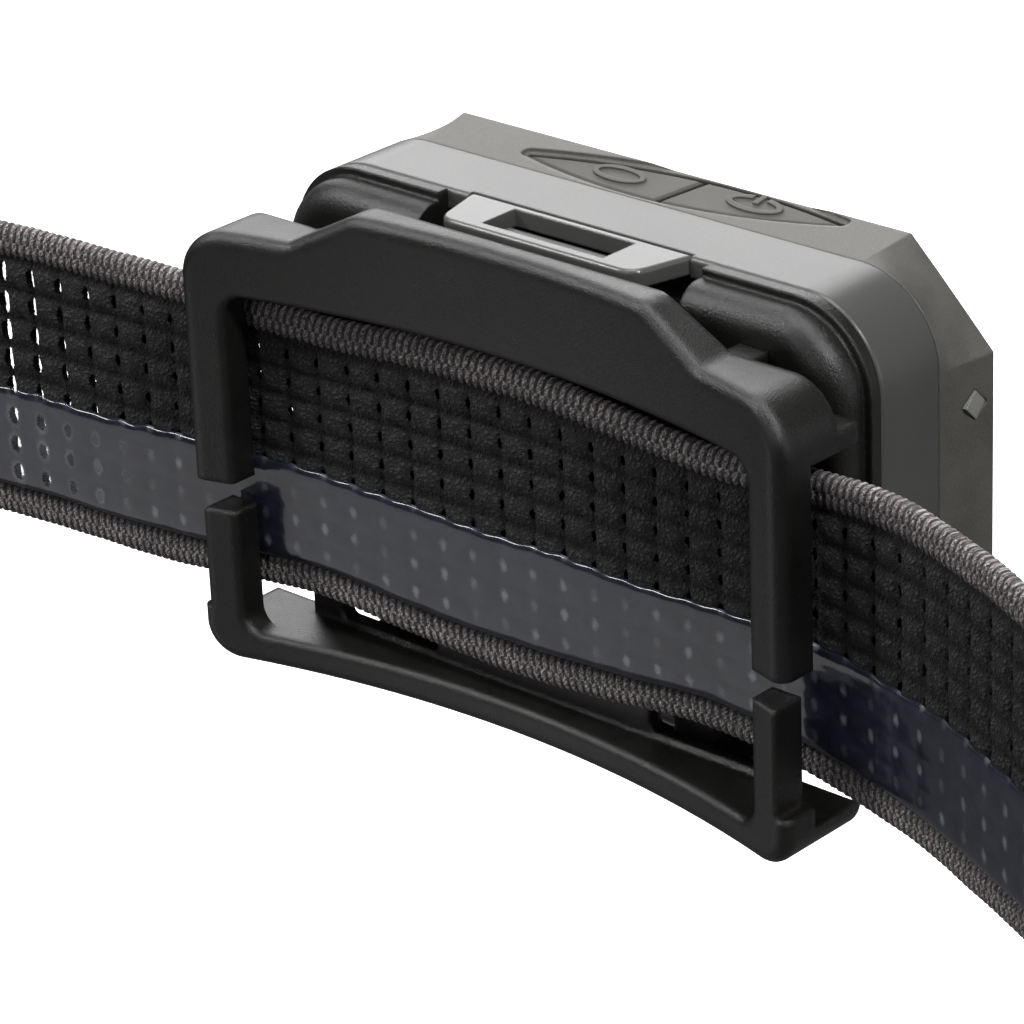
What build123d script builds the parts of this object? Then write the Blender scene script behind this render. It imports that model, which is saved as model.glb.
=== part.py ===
"""Headlamp on an elastic headband, in millimetres.

+X is to the right as the wearer sees it, +Y is where the beam goes, +Z is up. The origin is the middle
of the plane through the rear faces of the bracket's side posts, where the bracket meets the forehead.
"""

import math
import os
from build123d import *

# ---- headband ----
STRAP_WIDTH = 30.0
STRAP_THICKNESS = 1.8
STRAP_CLEARANCE = 0.9
GRIP_TOP = -1.2
GRIP_BOTTOM = -11.6
GRIP_THICKNESS = 0.45
GRIP_REACH = 84.0
LOOP_RIGHT = 106.0
LOOP_LEFT = -106.0
LOOP_BACK = -150.0
STRAP_FRONT_Y = 6.3

# ---- strap ring and slider ----
RAIL_HEIGHT = 2.0
RAIL_CLEARANCE = 0.5
BAR_THICKNESS = 1.2
BAR_WIDTH = 3.0
BAR_CLEARANCE = 0.1
RING_X = -3.6
RING_WINDOW = 4.0
SLIDER_X = 30.0
SLIDER_WIDTH = 17.0
SLIDER_TRAVEL = 12.0
SLIDER_GAP = 0.3

# ---- bracket ----
WINDOW_HALF_WIDTH = 30.05
WINDOW_DROP = 1.2
POST_WIDTH = 4.35
LOWER_POST_STEP = 1.3
REAR_EDGE_ROUND = 1.2
WINDOW_EDGE_ROUND = 0.6
POST_DEPTH = 2.9
BRACKET_WALL = 1.8
BUMP_TOP = 25.5
BUMP_HALF_WIDTH = 16.5
SHOULDER_TOP = 21.8
SHOULDER_X = 23.5
BOTTOM_BAR = 3.0
FOREHEAD_RADIUS = 112.0
FOREHEAD_DEPTH = 4.2
PLATE_REAR_Y = 7.4
PLATE_THICKNESS = 1.6
PLATE_HALF_WIDTH = 28.0
TOP_FRONT_Y = 6.4
SLIT_Z = -3.7
SLIT_HEIGHT = 2.8
SLOT_X = 18.5
SLOT_LENGTH = 12.0
SLOT_HEIGHT = 3.2
SLOT_LIP = 0.4
BUMPER_X = 23.2
BUMPER_WIDTH = 3.0
BUMPER_GAP = 0.1

# ---- lamp outline ----
LAMP_HALF_WIDTH = 32.8
LAMP_TOP = 25.2
LAMP_BOTTOM = -16.8
LAMP_CORNER = 8.0
CASE_REAR_Y = 9.6
SPLIT_Y = 14.05
FRAME_FRONT_Y = 21.8
FLARE_Y = 27.6
FLARE = 1.3
NOSE_Y = 33.6
NOSE_INSET = 5.2
FLARE_CORNER = 8.6
NOSE_CORNER = 6.4
WALL = 1.8
CASE_INSET = 0.8

# ---- hinges ----
TILT_Y = 11.8
TILT_RISE = 0.7
TILT_PIN_RADIUS = 1.0
TILT_KNUCKLE_RADIUS = 2.3
EAR_X = 20.0
EAR_WIDTH = 4.0
KNUCKLE_GAP = 0.15
KNUCKLE_WIDTH = 4.5
DETENT_HALF_WIDTH = 2.5
DETENT_TOOTH = 0.35
DETENT_TEETH = 24
DOOR_Y = 14.75
DOOR_Z = -18.45
DOOR_PIN_RADIUS = 0.6
DOOR_KNUCKLE_RADIUS = 1.45
DOOR_X = 7.5
DOOR_KNUCKLE_WIDTH = 3.0
RUNNING_CLEARANCE = 0.05

# ---- latch ----
TAB_REAR_Y = 8.5
TAB_FRONT_Y = 14.7
TAB_HALF_WIDTH = 11.0
TAB_ROOT_HALF_WIDTH = 12.5
TAB_THICKNESS = 1.6
TAB_HOLE_HALF_WIDTH = 6.85
TAB_HOLE_REAR_Y = 9.65
TAB_HOLE_FRONT_Y = 13.8
TAB_GAP = 0.12
CATCH_CLEARANCE = 0.15
CATCH_HEIGHT = 0.8
CATCH_LENGTH = 2.0
FINGER_RECESS = 2.4
FINGER_RECESS_HALF_WIDTH = 15.0

# ---- battery ----
BATTERY_HALF_WIDTH = 28.0
BATTERY_BOTTOM = -13.1
BATTERY_TOP = 19.0
BATTERY_FRONT_Y = 20.4
BATTERY_WALL = 0.8
SOCKET_X = 20.0
SOCKET_Z = 8.0
SOCKET_WIDTH = 8.9
SOCKET_HEIGHT = 3.2
SOCKET_DEPTH = 5.5
SOCKET_BAY = 16.4
SEAL_THICKNESS = 0.9

# ---- buttons ----
BUTTON_LEFT_TIP = (-14.6, 24.4)
BUTTON_RIGHT_TIP = (18.9, 26.6)
BUTTON_REAR_MID = (2.6, 23.0)
BUTTON_FRONT_MID = (1.6, 27.4)
BUTTON_CUT = ((0.2, 20.0), (4.2, 30.0))
BUTTON_GAP = 0.25
BUTTON_SPLIT = 0.6
BUTTON_TRAVEL = 0.6
BUTTON_HEIGHT = 2.2
BUTTON_RECESS = 0.35
BUTTON_RIM = 0.5
ICON_HEIGHT = 0.2
SWITCH_HEIGHT = 1.8
BUTTON_BOARD_LENGTH = 28.0
BUTTON_BOARD_WIDTH = 4.0
SWITCH_GAP = 0.75
MAIN_BUTTON_X = 9.8
MODE_BUTTON_X = -4.7

# ---- light ----
LIGHT_Z = 4.2
REFLECTOR_RADIUS = 11.5
REFLECTOR_BACK_RADIUS = 3.0
SIDE_LIGHT_X = 19.5
FLOOD_RADIUS = 5.0
RED_RADIUS = 3.6
BEZEL_THICKNESS = 1.2
LENS_THICKNESS = 1.6
LENS_HALF_WIDTH = 25.2
LENS_HALF_HEIGHT = 13.6
LENS_CORNER = 5.0
GASKET = 0.5
SIDE_LENS_GAP = 1.2
SIDE_LENS_TAPER = 16.0
INLAY_X = 33.0
INLAY_Y = 25.6
INLAY_Z = 13.3
INLAY_RADIUS = 1.3
INLAY_THICKNESS = 0.75
CONTACT_PITCH = 8.0
CONTACT_Z = 8.0
CONTACT_RADIUS = 1.2
BOARD_HALF_WIDTH = 23.0
BOARD_HALF_HEIGHT = 13.0
BULKHEAD_Y = 20.8
BULKHEAD_THICKNESS = 1.6
BOARD_Y = 22.9
BOARD_THICKNESS = 0.8
CHIP_THICKNESS = 0.35
LIGHT_BOARD_Y = 24.2
SCREW_X = 26.4
SCREW_LOW_Z = -10.6
SCREW_HIGH_Z = 19.0
SCREW_RADIUS = 1.0
SCREW_HEAD_RADIUS = 1.9
SCREW_LENGTH = 6.0
BOSS_RADIUS = 2.4
SEAT_GAP = 0.05

# ---- worked out from the values above ----
WINDOW_HALF_HEIGHT = STRAP_WIDTH / 2 + STRAP_CLEARANCE
BRACKET_HALF_WIDTH = WINDOW_HALF_WIDTH + POST_WIDTH
WINDOW_BOTTOM = -WINDOW_HALF_HEIGHT - WINDOW_DROP
WINDOW_HEIGHT = WINDOW_HALF_HEIGHT - WINDOW_BOTTOM
BRACKET_BOTTOM = WINDOW_BOTTOM - BOTTOM_BAR
TILT_Z = BRACKET_BOTTOM + TILT_RISE
PLATE_FRONT_Y = PLATE_REAR_Y + PLATE_THICKNESS
LAMP_MIDDLE = (LAMP_TOP + LAMP_BOTTOM) / 2
LAMP_HALF_HEIGHT = (LAMP_TOP - LAMP_BOTTOM) / 2
LENS_Y = NOSE_Y - LENS_THICKNESS
BEZEL_Y = LENS_Y - BEZEL_THICKNESS
PLY_PITCH = BAR_THICKNESS + 2 * BAR_CLEARANCE + STRAP_THICKNESS
RETURN_Y = LOOP_BACK - PLY_PITCH
RAIL_Z = STRAP_WIDTH / 2 + RAIL_CLEARANCE + RAIL_HEIGHT / 2

os.makedirs("parts", exist_ok=True)


def save(piece, name):
    """Labels a finished piece and writes it to its own STEP file."""
    piece.part.label = name
    export_step(piece.part, f"parts/{name}.step")


def upright(y):
    """A sketch plane across the beam at depth y, with X to the right and Z up; extrude(-d) goes forwards."""
    return Plane.XZ.offset(-y)


def lying(x):
    """A sketch plane across the X axis at x, with Y to the right and Z up."""
    return Plane.YZ.offset(x)


def lamp_outline(inset, half_width=LAMP_HALF_WIDTH, corner=LAMP_CORNER):
    """Rounded outline of the lamp, drawn in the sketch that is open, pulled in by inset."""
    with Locations((0, LAMP_MIDDLE)):
        RectangleRounded(
            2 * (half_width - inset), 2 * (LAMP_HALF_HEIGHT - inset), max(corner - inset, 1.0)
        )


# ======================= bracket =======================
def bracket_outline(inset):
    """Outline of the bracket from behind, with the raised middle of its top, pulled in by inset."""
    side = BRACKET_HALF_WIDTH - inset
    bottom = BRACKET_BOTTOM + inset
    with BuildSketch() as outline:
        with BuildLine():
            right = FilletPolyline(
                (0, bottom),
                (side, bottom),
                (side, SHOULDER_TOP - inset),
                (SHOULDER_X - inset / 3, SHOULDER_TOP - inset),
                (BUMP_HALF_WIDTH, BUMP_TOP - inset),
                (0, BUMP_TOP - inset),
                radius=[3.5, 4.5, 2.0, 3.0],
            )
            mirror(right, about=Plane.YZ)
        make_face()
    return outline.sketch


FOREHEAD_CENTRE = (0, FOREHEAD_DEPTH - FOREHEAD_RADIUS, 0)

with BuildPart() as bracket:
    with BuildSketch(upright(-3)):
        add(bracket_outline(0))
    extrude(amount=-(PLATE_FRONT_Y + 3))
    with Locations(FOREHEAD_CENTRE):
        Cylinder(FOREHEAD_RADIUS, 80, mode=Mode.SUBTRACT)
    rear_face = bracket.faces().filter_by(GeomType.CYLINDER).sort_by(SortBy.AREA)[-1]
    fillet(rear_face.edges(), REAR_EDGE_ROUND)
    with BuildSketch(upright(-4)):
        with Locations((0, -WINDOW_DROP / 2)):
            RectangleRounded(2 * WINDOW_HALF_WIDTH, WINDOW_HEIGHT, 2.0)
    extrude(amount=-(PLATE_REAR_Y + 4), mode=Mode.SUBTRACT)
    rear_face = bracket.faces().filter_by(GeomType.CYLINDER).sort_by(SortBy.AREA)[-1]
    fillet(rear_face.inner_wires()[0].edges(), WINDOW_EDGE_ROUND)
    with BuildSketch(upright(POST_DEPTH)):
        with Locations((0, -WINDOW_DROP / 2)):
            Rectangle(3 * BRACKET_HALF_WIDTH, WINDOW_HEIGHT)
    extrude(amount=-(PLATE_REAR_Y - POST_DEPTH), mode=Mode.SUBTRACT)
    for side in (-1, 1):
        with BuildSketch(upright(POST_DEPTH)):
            with Locations((side * (PLATE_HALF_WIDTH + 10), -WINDOW_DROP / 2)):
                Rectangle(20, WINDOW_HEIGHT)
        extrude(amount=-(PLATE_FRONT_Y - POST_DEPTH), mode=Mode.SUBTRACT)
        with BuildSketch(upright(-4)):
            with Locations((side * (WINDOW_HALF_WIDTH + POST_WIDTH / 2), SLIT_Z)):
                Rectangle(2 * POST_WIDTH, SLIT_HEIGHT)
        extrude(amount=-(POST_DEPTH + 4), mode=Mode.SUBTRACT)
        with BuildSketch(upright(-4)):
            with Locations((side * (BRACKET_HALF_WIDTH - LOWER_POST_STEP), SLIT_Z)):
                Rectangle(
                    10, SLIT_Z - BRACKET_BOTTOM - 5,
                    align=(Align.MIN if side > 0 else Align.MAX, Align.MAX),
                )
        extrude(amount=-(POST_DEPTH + 4), mode=Mode.SUBTRACT)
        with BuildSketch(upright(PLATE_REAR_Y - 0.5)):
            with Locations((side * SLOT_X, WINDOW_BOTTOM + SLOT_HEIGHT / 2 + SLOT_LIP)):
                RectangleRounded(SLOT_LENGTH, SLOT_HEIGHT, 0.8)
        extrude(amount=-(PLATE_THICKNESS + 1), mode=Mode.SUBTRACT)
    with BuildPart(mode=Mode.PRIVATE) as pocket:
        with BuildSketch(upright(-3)):
            add(bracket_outline(BRACKET_WALL))
            with Locations((0, WINDOW_HALF_HEIGHT + BRACKET_WALL - 50)):
                Rectangle(4 * BRACKET_HALF_WIDTH, 100, mode=Mode.SUBTRACT)
        extrude(amount=-(PLATE_FRONT_Y + 4))
        with Locations(FOREHEAD_CENTRE):
            Cylinder(FOREHEAD_RADIUS + BRACKET_WALL, 80, mode=Mode.SUBTRACT)
    add(pocket.part, mode=Mode.SUBTRACT)
    with BuildSketch(upright(TOP_FRONT_Y)):
        with Locations((0, WINDOW_HALF_HEIGHT + BRACKET_WALL)):
            Rectangle(4 * BRACKET_HALF_WIDTH, 30, align=(Align.CENTER, Align.MIN))
    extrude(amount=-(PLATE_FRONT_Y - TOP_FRONT_Y + 1), mode=Mode.SUBTRACT)
    for side in (-1, 1):
        bumper_depth = CASE_REAR_Y - BUMPER_GAP - TOP_FRONT_Y + 3
        with Locations((side * BUMPER_X, TOP_FRONT_Y - 3, SHOULDER_TOP - BRACKET_WALL)):
            Box(BUMPER_WIDTH, bumper_depth, 2.4, align=(Align.CENTER, Align.MIN, Align.CENTER))
        with BuildSketch(lying(side * EAR_X - EAR_WIDTH / 2)):
            with Locations((TILT_Y, TILT_Z)):
                Circle(TILT_KNUCKLE_RADIUS)
            with BuildLine():
                Polyline(
                    (PLATE_FRONT_Y - 3, WINDOW_BOTTOM),
                    (PLATE_FRONT_Y, WINDOW_BOTTOM),
                    (TILT_Y, TILT_Z + TILT_KNUCKLE_RADIUS),
                    (TILT_Y, TILT_Z - TILT_KNUCKLE_RADIUS),
                    (PLATE_FRONT_Y - 3, BRACKET_BOTTOM),
                    close=True,
                )
            make_face()
        extrude(amount=EAR_WIDTH)
    with BuildSketch(lying(-EAR_X - EAR_WIDTH)):
        with Locations((TILT_Y, TILT_Z)):
            Circle(TILT_PIN_RADIUS)
    extrude(amount=2 * (EAR_X + EAR_WIDTH), mode=Mode.SUBTRACT)
save(bracket, "bracket")

PIN_HALF_LENGTH = EAR_X + EAR_WIDTH / 2
with BuildPart() as tilt_pin:
    with BuildSketch(lying(-PIN_HALF_LENGTH)):
        with Locations((TILT_Y, TILT_Z)):
            Circle(TILT_PIN_RADIUS)
    extrude(amount=2 * PIN_HALF_LENGTH)
    chamfer(tilt_pin.edges().filter_by(GeomType.CIRCLE), 0.25)
save(tilt_pin, "tilt_pin")

DETENT_RADIUS = TILT_KNUCKLE_RADIUS
SPRING_THICKNESS = 0.3
SPRING_Z = TILT_Z - DETENT_RADIUS - 0.1
with BuildPart() as detent_spring:
    with BuildSketch(lying(-DETENT_HALF_WIDTH)):
        with BuildLine():
            Polyline(
                (PLATE_FRONT_Y - 3.5, BRACKET_BOTTOM),
                (PLATE_FRONT_Y - 1, BRACKET_BOTTOM),
                (TILT_Y - 2.2, SPRING_Z),
                (TILT_Y + 1.6, SPRING_Z),
                (TILT_Y + 1.6, SPRING_Z - SPRING_THICKNESS),
                (TILT_Y - 2.3, SPRING_Z - SPRING_THICKNESS),
                (PLATE_FRONT_Y - 1.1, BRACKET_BOTTOM - SPRING_THICKNESS),
                (PLATE_FRONT_Y - 3.5, BRACKET_BOTTOM - SPRING_THICKNESS),
                close=True,
            )
        make_face()
    extrude(amount=2 * DETENT_HALF_WIDTH)
save(detent_spring, "detent_spring")


# ======================= headband =======================
# corners of the band's middle line in plan, and the radius of each turn, anticlockwise from the ring
BAND_RIGHT = [
    ((70, LOOP_BACK), 50),
    ((LOOP_RIGHT, -105), 50),
    ((LOOP_RIGHT, -50), 60),
    ((76, -10.6), 60),
    ((40, STRAP_FRONT_Y), 45),
]
BAND_LEFT = [
    ((-8, STRAP_FRONT_Y), 150),
    ((-78, 1.9), 30),
    ((LOOP_LEFT, -45), 50),
    ((LOOP_LEFT, -105), 50),
    ((-70, LOOP_BACK), 50),
]
# the two turns of a fold-back meet on a short straight
TURN = PLY_PITCH / 2 - 0.005
RING_RIGHT_X = RING_X + RING_WINDOW / 2 + BAR_WIDTH / 2
RING_LEFT_X = RING_X - RING_WINDOW / 2 - BAR_WIDTH / 2
# the band comes back round each bar of the ring, so its bend stands this far beyond the bar's middle
BEND = BAR_WIDTH / 2 + BAR_CLEARANCE + STRAP_THICKNESS / 2
HEM = 14.0
FOLD_BACK = 5.0


def band_line(start, end):
    """Middle line of the band between two lists of points, through the corners of the loop."""
    corners = [corner for corner, _ in BAND_RIGHT + BAND_LEFT]
    radii = [radius for _, radius in BAND_RIGHT + BAND_LEFT]
    points = start + corners + end
    FilletPolyline(*points, radius=[TURN] * (len(start) - 1) + radii + [TURN] * (len(end) - 1))


RIGHT_END = [
    (RING_RIGHT_X + FOLD_BACK, RETURN_Y),
    (RING_RIGHT_X - BEND, RETURN_Y),
    (RING_RIGHT_X - BEND, LOOP_BACK),
]
LEFT_END = [
    (RING_LEFT_X + BEND, LOOP_BACK),
    (RING_LEFT_X + BEND, RETURN_Y),
    (RING_LEFT_X - HEM, RETURN_Y),
]

with BuildPart() as strap:
    with BuildSketch(Plane.XY.offset(-STRAP_WIDTH / 2)):
        with BuildLine():
            band_line(RIGHT_END, LEFT_END)
        trace(line_width=STRAP_THICKNESS)
    extrude(amount=STRAP_WIDTH)
save(strap, "strap")

with BuildPart() as grip_strip:
    with BuildSketch(Plane.XY.offset(GRIP_BOTTOM)):
        with BuildLine():
            band_line([RIGHT_END[-1]], [LEFT_END[0]])
        trace(line_width=STRAP_THICKNESS + 2 * GRIP_THICKNESS)
        with BuildLine():
            band_line([RIGHT_END[-1]], [LEFT_END[0]])
        trace(line_width=STRAP_THICKNESS, mode=Mode.SUBTRACT)
        with BuildSketch(mode=Mode.PRIVATE) as inside:
            with BuildLine():
                FilletPolyline(
                    *[corner for corner, _ in BAND_RIGHT + BAND_LEFT],
                    radius=[radius for _, radius in BAND_RIGHT + BAND_LEFT],
                    close=True,
                )
            make_face()
            with Locations((0, LOOP_BACK - 10)):
                Rectangle(4 * LOOP_RIGHT, 2 * 120, mode=Mode.SUBTRACT)
            with Locations((0, 0)):
                Rectangle(2 * GRIP_REACH, 400, mode=Mode.INTERSECT)
        add(inside.sketch, mode=Mode.INTERSECT)
    extrude(amount=GRIP_TOP - GRIP_BOTTOM)
save(grip_strip, "grip_strip")

with BuildPart() as strap_ring:
    ring_y = (LOOP_BACK + RETURN_Y) / 2
    for bar_x in (RING_LEFT_X, RING_RIGHT_X):
        with Locations((bar_x, ring_y, 0)):
            Box(BAR_WIDTH, BAR_THICKNESS, 2 * RAIL_Z)
    for end in (-1, 1):
        with Locations((RING_X, ring_y, end * RAIL_Z)):
            Box(RING_WINDOW + 2 * BAR_WIDTH, BAR_THICKNESS + 1.0, RAIL_HEIGHT)
    fillet(strap_ring.edges().filter_by(Axis.Y).group_by(Axis.Z)[0], 0.8)
    fillet(strap_ring.edges().filter_by(Axis.Y).group_by(Axis.Z)[-1], 0.8)
    bar_edges = strap_ring.edges().filter_by(Axis.Z)
    fillet([edge for edge in bar_edges if edge.length > STRAP_WIDTH], BAR_THICKNESS / 2 - 0.05)
save(strap_ring, "strap_ring")

SIDE_BAR_Y = LOOP_BACK + STRAP_THICKNESS / 2 + SLIDER_GAP + BAR_THICKNESS / 2
CENTRE_BAR_Y = RETURN_Y
SLIDER_DEPTH = SIDE_BAR_Y - CENTRE_BAR_Y + BAR_THICKNESS
with BuildPart() as slider:
    for bar_x in (-1, 1):
        with Locations((SLIDER_X + bar_x * (SLIDER_WIDTH - BAR_WIDTH) / 2, SIDE_BAR_Y, 0)):
            Box(BAR_WIDTH, BAR_THICKNESS, 2 * RAIL_Z)
    with Locations((SLIDER_X, CENTRE_BAR_Y, 0)):
        Box(BAR_WIDTH, BAR_THICKNESS, 2 * RAIL_Z)
    for end in (-1, 1):
        with Locations((SLIDER_X, (SIDE_BAR_Y + CENTRE_BAR_Y) / 2, end * RAIL_Z)):
            Box(SLIDER_WIDTH, SLIDER_DEPTH, RAIL_HEIGHT)
    fillet(slider.edges().filter_by(Axis.Z).group_by(Axis.X)[0], 0.5)
    fillet(slider.edges().filter_by(Axis.Z).group_by(Axis.X)[-1], 0.5)
save(slider, "slider")

END_LOOP_TAIL = 6.0
END_LOOP_THICKNESS = 0.9
with BuildPart() as strap_end_loop:
    with BuildSketch(Plane.XY.offset(-STRAP_WIDTH / 2)):
        with Locations((SLIDER_X, CENTRE_BAR_Y)):
            RectangleRounded(
                BAR_WIDTH + 2 * (BAR_CLEARANCE + END_LOOP_THICKNESS),
                BAR_THICKNESS + 2 * (BAR_CLEARANCE + END_LOOP_THICKNESS), 1.0,
            )
            Rectangle(
                BAR_WIDTH + 2 * BAR_CLEARANCE, BAR_THICKNESS + 2 * BAR_CLEARANCE, mode=Mode.SUBTRACT
            )
        with Locations((SLIDER_X - BAR_WIDTH / 2 - BAR_CLEARANCE, CENTRE_BAR_Y)):
            Rectangle(END_LOOP_TAIL, STRAP_THICKNESS, align=(Align.MAX, Align.CENTER))
    extrude(amount=STRAP_WIDTH)
save(strap_end_loop, "strap_end_loop")

PLY_START = RING_RIGHT_X + FOLD_BACK + SEAT_GAP
PLY_END = SLIDER_X - BAR_WIDTH / 2 - BAR_CLEARANCE - END_LOOP_TAIL - SEAT_GAP
with BuildPart() as strap_return:
    with Locations(((PLY_START + PLY_END) / 2, RETURN_Y, 0)):
        Box(PLY_END - PLY_START, STRAP_THICKNESS, STRAP_WIDTH)
save(strap_return, "strap_return")


# ======================= battery case =======================
CATCH_TOP = LAMP_TOP - TAB_THICKNESS + CATCH_HEIGHT
TAB_BOTTOM = LAMP_TOP - TAB_THICKNESS
with BuildPart() as battery_case:
    with BuildSketch(upright(SPLIT_Y)) as flange:
        lamp_outline(0)
    extrude(amount=1.2)
    with BuildSketch(upright(SPLIT_Y)):
        lamp_outline(CASE_INSET)
    extrude(amount=SPLIT_Y - CASE_REAR_Y)
    fillet(battery_case.faces().sort_by(Axis.Y)[0].edges(), 2.6)
    with BuildSketch(upright(SPLIT_Y)):
        lamp_outline(CASE_INSET + WALL)
    extrude(amount=SPLIT_Y - CASE_REAR_Y - WALL, mode=Mode.SUBTRACT)
    # finger recess below the latch tab, with its own floor and walls
    recess_floor = TAB_BOTTOM - FINGER_RECESS
    with BuildSketch(upright(SPLIT_Y)):
        with Locations((0, LAMP_TOP)):
            Rectangle(
                2 * FINGER_RECESS_HALF_WIDTH + 2 * WALL, LAMP_TOP - recess_floor + WALL,
                align=(Align.CENTER, Align.MAX),
            )
            Rectangle(80, CASE_INSET + 1.2, align=(Align.CENTER, Align.MAX), mode=Mode.SUBTRACT)
    extrude(amount=SPLIT_Y - CASE_REAR_Y - 1.3)
    with BuildSketch(upright(SPLIT_Y + 1)):
        with Locations((0, recess_floor)):
            Rectangle(2 * FINGER_RECESS_HALF_WIDTH, 20, align=(Align.CENTER, Align.MIN))
    extrude(amount=SPLIT_Y - CASE_REAR_Y + 4, mode=Mode.SUBTRACT)
    # catch that stands up into the latch tab's window
    with Locations((0, TAB_HOLE_REAR_Y + CATCH_CLEARANCE, recess_floor - 0.5)):
        Box(
            2 * (TAB_HOLE_HALF_WIDTH - 1.0), CATCH_LENGTH, CATCH_TOP - recess_floor + 0.5,
            align=(Align.CENTER, Align.MIN, Align.MIN),
        )
    # knuckles of the tilt hinge and of the opening hinge
    knuckle_x = EAR_X - EAR_WIDTH / 2 - KNUCKLE_GAP - KNUCKLE_WIDTH
    for start in (knuckle_x, -knuckle_x - KNUCKLE_WIDTH, -DETENT_HALF_WIDTH):
        width = 2 * DETENT_HALF_WIDTH if start == -DETENT_HALF_WIDTH else KNUCKLE_WIDTH
        with BuildSketch(lying(start)):
            with Locations((TILT_Y, TILT_Z)):
                Circle(DETENT_RADIUS)
            with Locations((TILT_Y, LAMP_BOTTOM + 1.2)):
                Rectangle(
                    2 * TILT_KNUCKLE_RADIUS - 0.4, LAMP_BOTTOM + 1.2 - TILT_Z,
                    align=(Align.CENTER, Align.MAX),
                )
        extrude(amount=width)
    with BuildSketch(lying(-DETENT_HALF_WIDTH - 0.1)):
        with Locations((TILT_Y, TILT_Z)):
            with PolarLocations(DETENT_RADIUS, DETENT_TEETH, start_angle=-90 - 60, angular_range=150):
                Circle(DETENT_TOOTH)
    extrude(amount=2 * DETENT_HALF_WIDTH + 0.2, mode=Mode.SUBTRACT)
    for start in (DOOR_X, -DOOR_X - DOOR_KNUCKLE_WIDTH):
        with BuildSketch(lying(start)):
            with Locations((DOOR_Y, DOOR_Z)):
                Circle(DOOR_KNUCKLE_RADIUS)
            with BuildLine():
                Polyline(
                    (SPLIT_Y - 3.0, LAMP_BOTTOM + 1.0),
                    (SPLIT_Y, LAMP_BOTTOM + 1.0),
                    (SPLIT_Y, DOOR_Z + 1.2),
                    (DOOR_Y, DOOR_Z),
                    (DOOR_Y - 0.6, DOOR_Z - 1.3),
                    close=True,
                )
            make_face()
        extrude(amount=DOOR_KNUCKLE_WIDTH)
    with BuildSketch(lying(-40)):
        with Locations((TILT_Y, TILT_Z)):
            Circle(TILT_PIN_RADIUS + RUNNING_CLEARANCE)
        with Locations((DOOR_Y, DOOR_Z)):
            Circle(DOOR_PIN_RADIUS)
    extrude(amount=80, mode=Mode.SUBTRACT)
save(battery_case, "battery_case")

DOOR_PIN_HALF_LENGTH = DOOR_X + DOOR_KNUCKLE_WIDTH
with BuildPart() as door_pin:
    with BuildSketch(lying(-DOOR_PIN_HALF_LENGTH)):
        with Locations((DOOR_Y, DOOR_Z)):
            Circle(DOOR_PIN_RADIUS)
    extrude(amount=2 * DOOR_PIN_HALF_LENGTH)
save(door_pin, "door_pin")

BATTERY_REAR_Y = CASE_REAR_Y + WALL + SEAT_GAP
BATTERY_MID_Y = (BATTERY_REAR_Y + BATTERY_FRONT_Y) / 2
BATTERY_MID_Z = (BATTERY_TOP + BATTERY_BOTTOM) / 2
with BuildPart() as battery_shell:
    battery_height = BATTERY_TOP - BATTERY_BOTTOM
    battery_depth = BATTERY_FRONT_Y - BATTERY_REAR_Y
    with Locations((0, BATTERY_MID_Y, BATTERY_MID_Z)):
        Box(2 * BATTERY_HALF_WIDTH, battery_depth, battery_height)
        fillet(battery_shell.edges().filter_by(Axis.Y), 5.0)
        fillet(battery_shell.faces().sort_by(Axis.Y)[0].edges(), 1.5)
        fillet(battery_shell.faces().sort_by(Axis.Y)[-1].edges(), 1.0)
        Box(
            2 * (BATTERY_HALF_WIDTH - 2.5), battery_depth - 2 * BATTERY_WALL, battery_height - 5.0,
            mode=Mode.SUBTRACT,
        )
    with BuildSketch(upright(BATTERY_FRONT_Y + 1)):
        with Locations((SOCKET_X, SOCKET_Z)):
            SlotOverall(SOCKET_WIDTH + 2 * SEAT_GAP, SOCKET_HEIGHT + 2 * SEAT_GAP)
    extrude(amount=BATTERY_WALL + 2, mode=Mode.SUBTRACT)
save(battery_shell, "battery_shell")

with BuildPart() as battery_cell:
    with Locations((-BATTERY_HALF_WIDTH + 2.7, BATTERY_MID_Y, BATTERY_MID_Z)):
        Box(
            2 * BATTERY_HALF_WIDTH - SOCKET_BAY, battery_depth - 2 * BATTERY_WALL - 0.2,
            battery_height - 5.0 - 0.4, align=(Align.MIN, Align.CENTER, Align.CENTER),
        )
    fillet(battery_cell.edges().filter_by(Axis.X), 1.5)
save(battery_cell, "battery_cell")

with BuildPart() as charge_socket:
    with BuildSketch(upright(BATTERY_FRONT_Y - SOCKET_DEPTH)):
        with Locations((SOCKET_X, SOCKET_Z)):
            SlotOverall(SOCKET_WIDTH, SOCKET_HEIGHT)
    extrude(amount=-SOCKET_DEPTH)
    with BuildSketch(upright(BATTERY_FRONT_Y)):
        with Locations((SOCKET_X, SOCKET_Z)):
            SlotOverall(SOCKET_WIDTH - 0.6, SOCKET_HEIGHT - 0.6)
            Rectangle(SOCKET_WIDTH - 3.0, 0.7, mode=Mode.SUBTRACT)
    extrude(amount=SOCKET_DEPTH - 0.6, mode=Mode.SUBTRACT)
save(charge_socket, "charge_socket")

with BuildPart() as charge_board:
    with Locations((SOCKET_X, BATTERY_FRONT_Y - SOCKET_DEPTH - SEAT_GAP, BATTERY_MID_Z)):
        Box(
            SOCKET_WIDTH, 0.8, battery_height - 7.0,
            align=(Align.CENTER, Align.MAX, Align.CENTER),
        )
save(charge_board, "charge_board")

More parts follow.
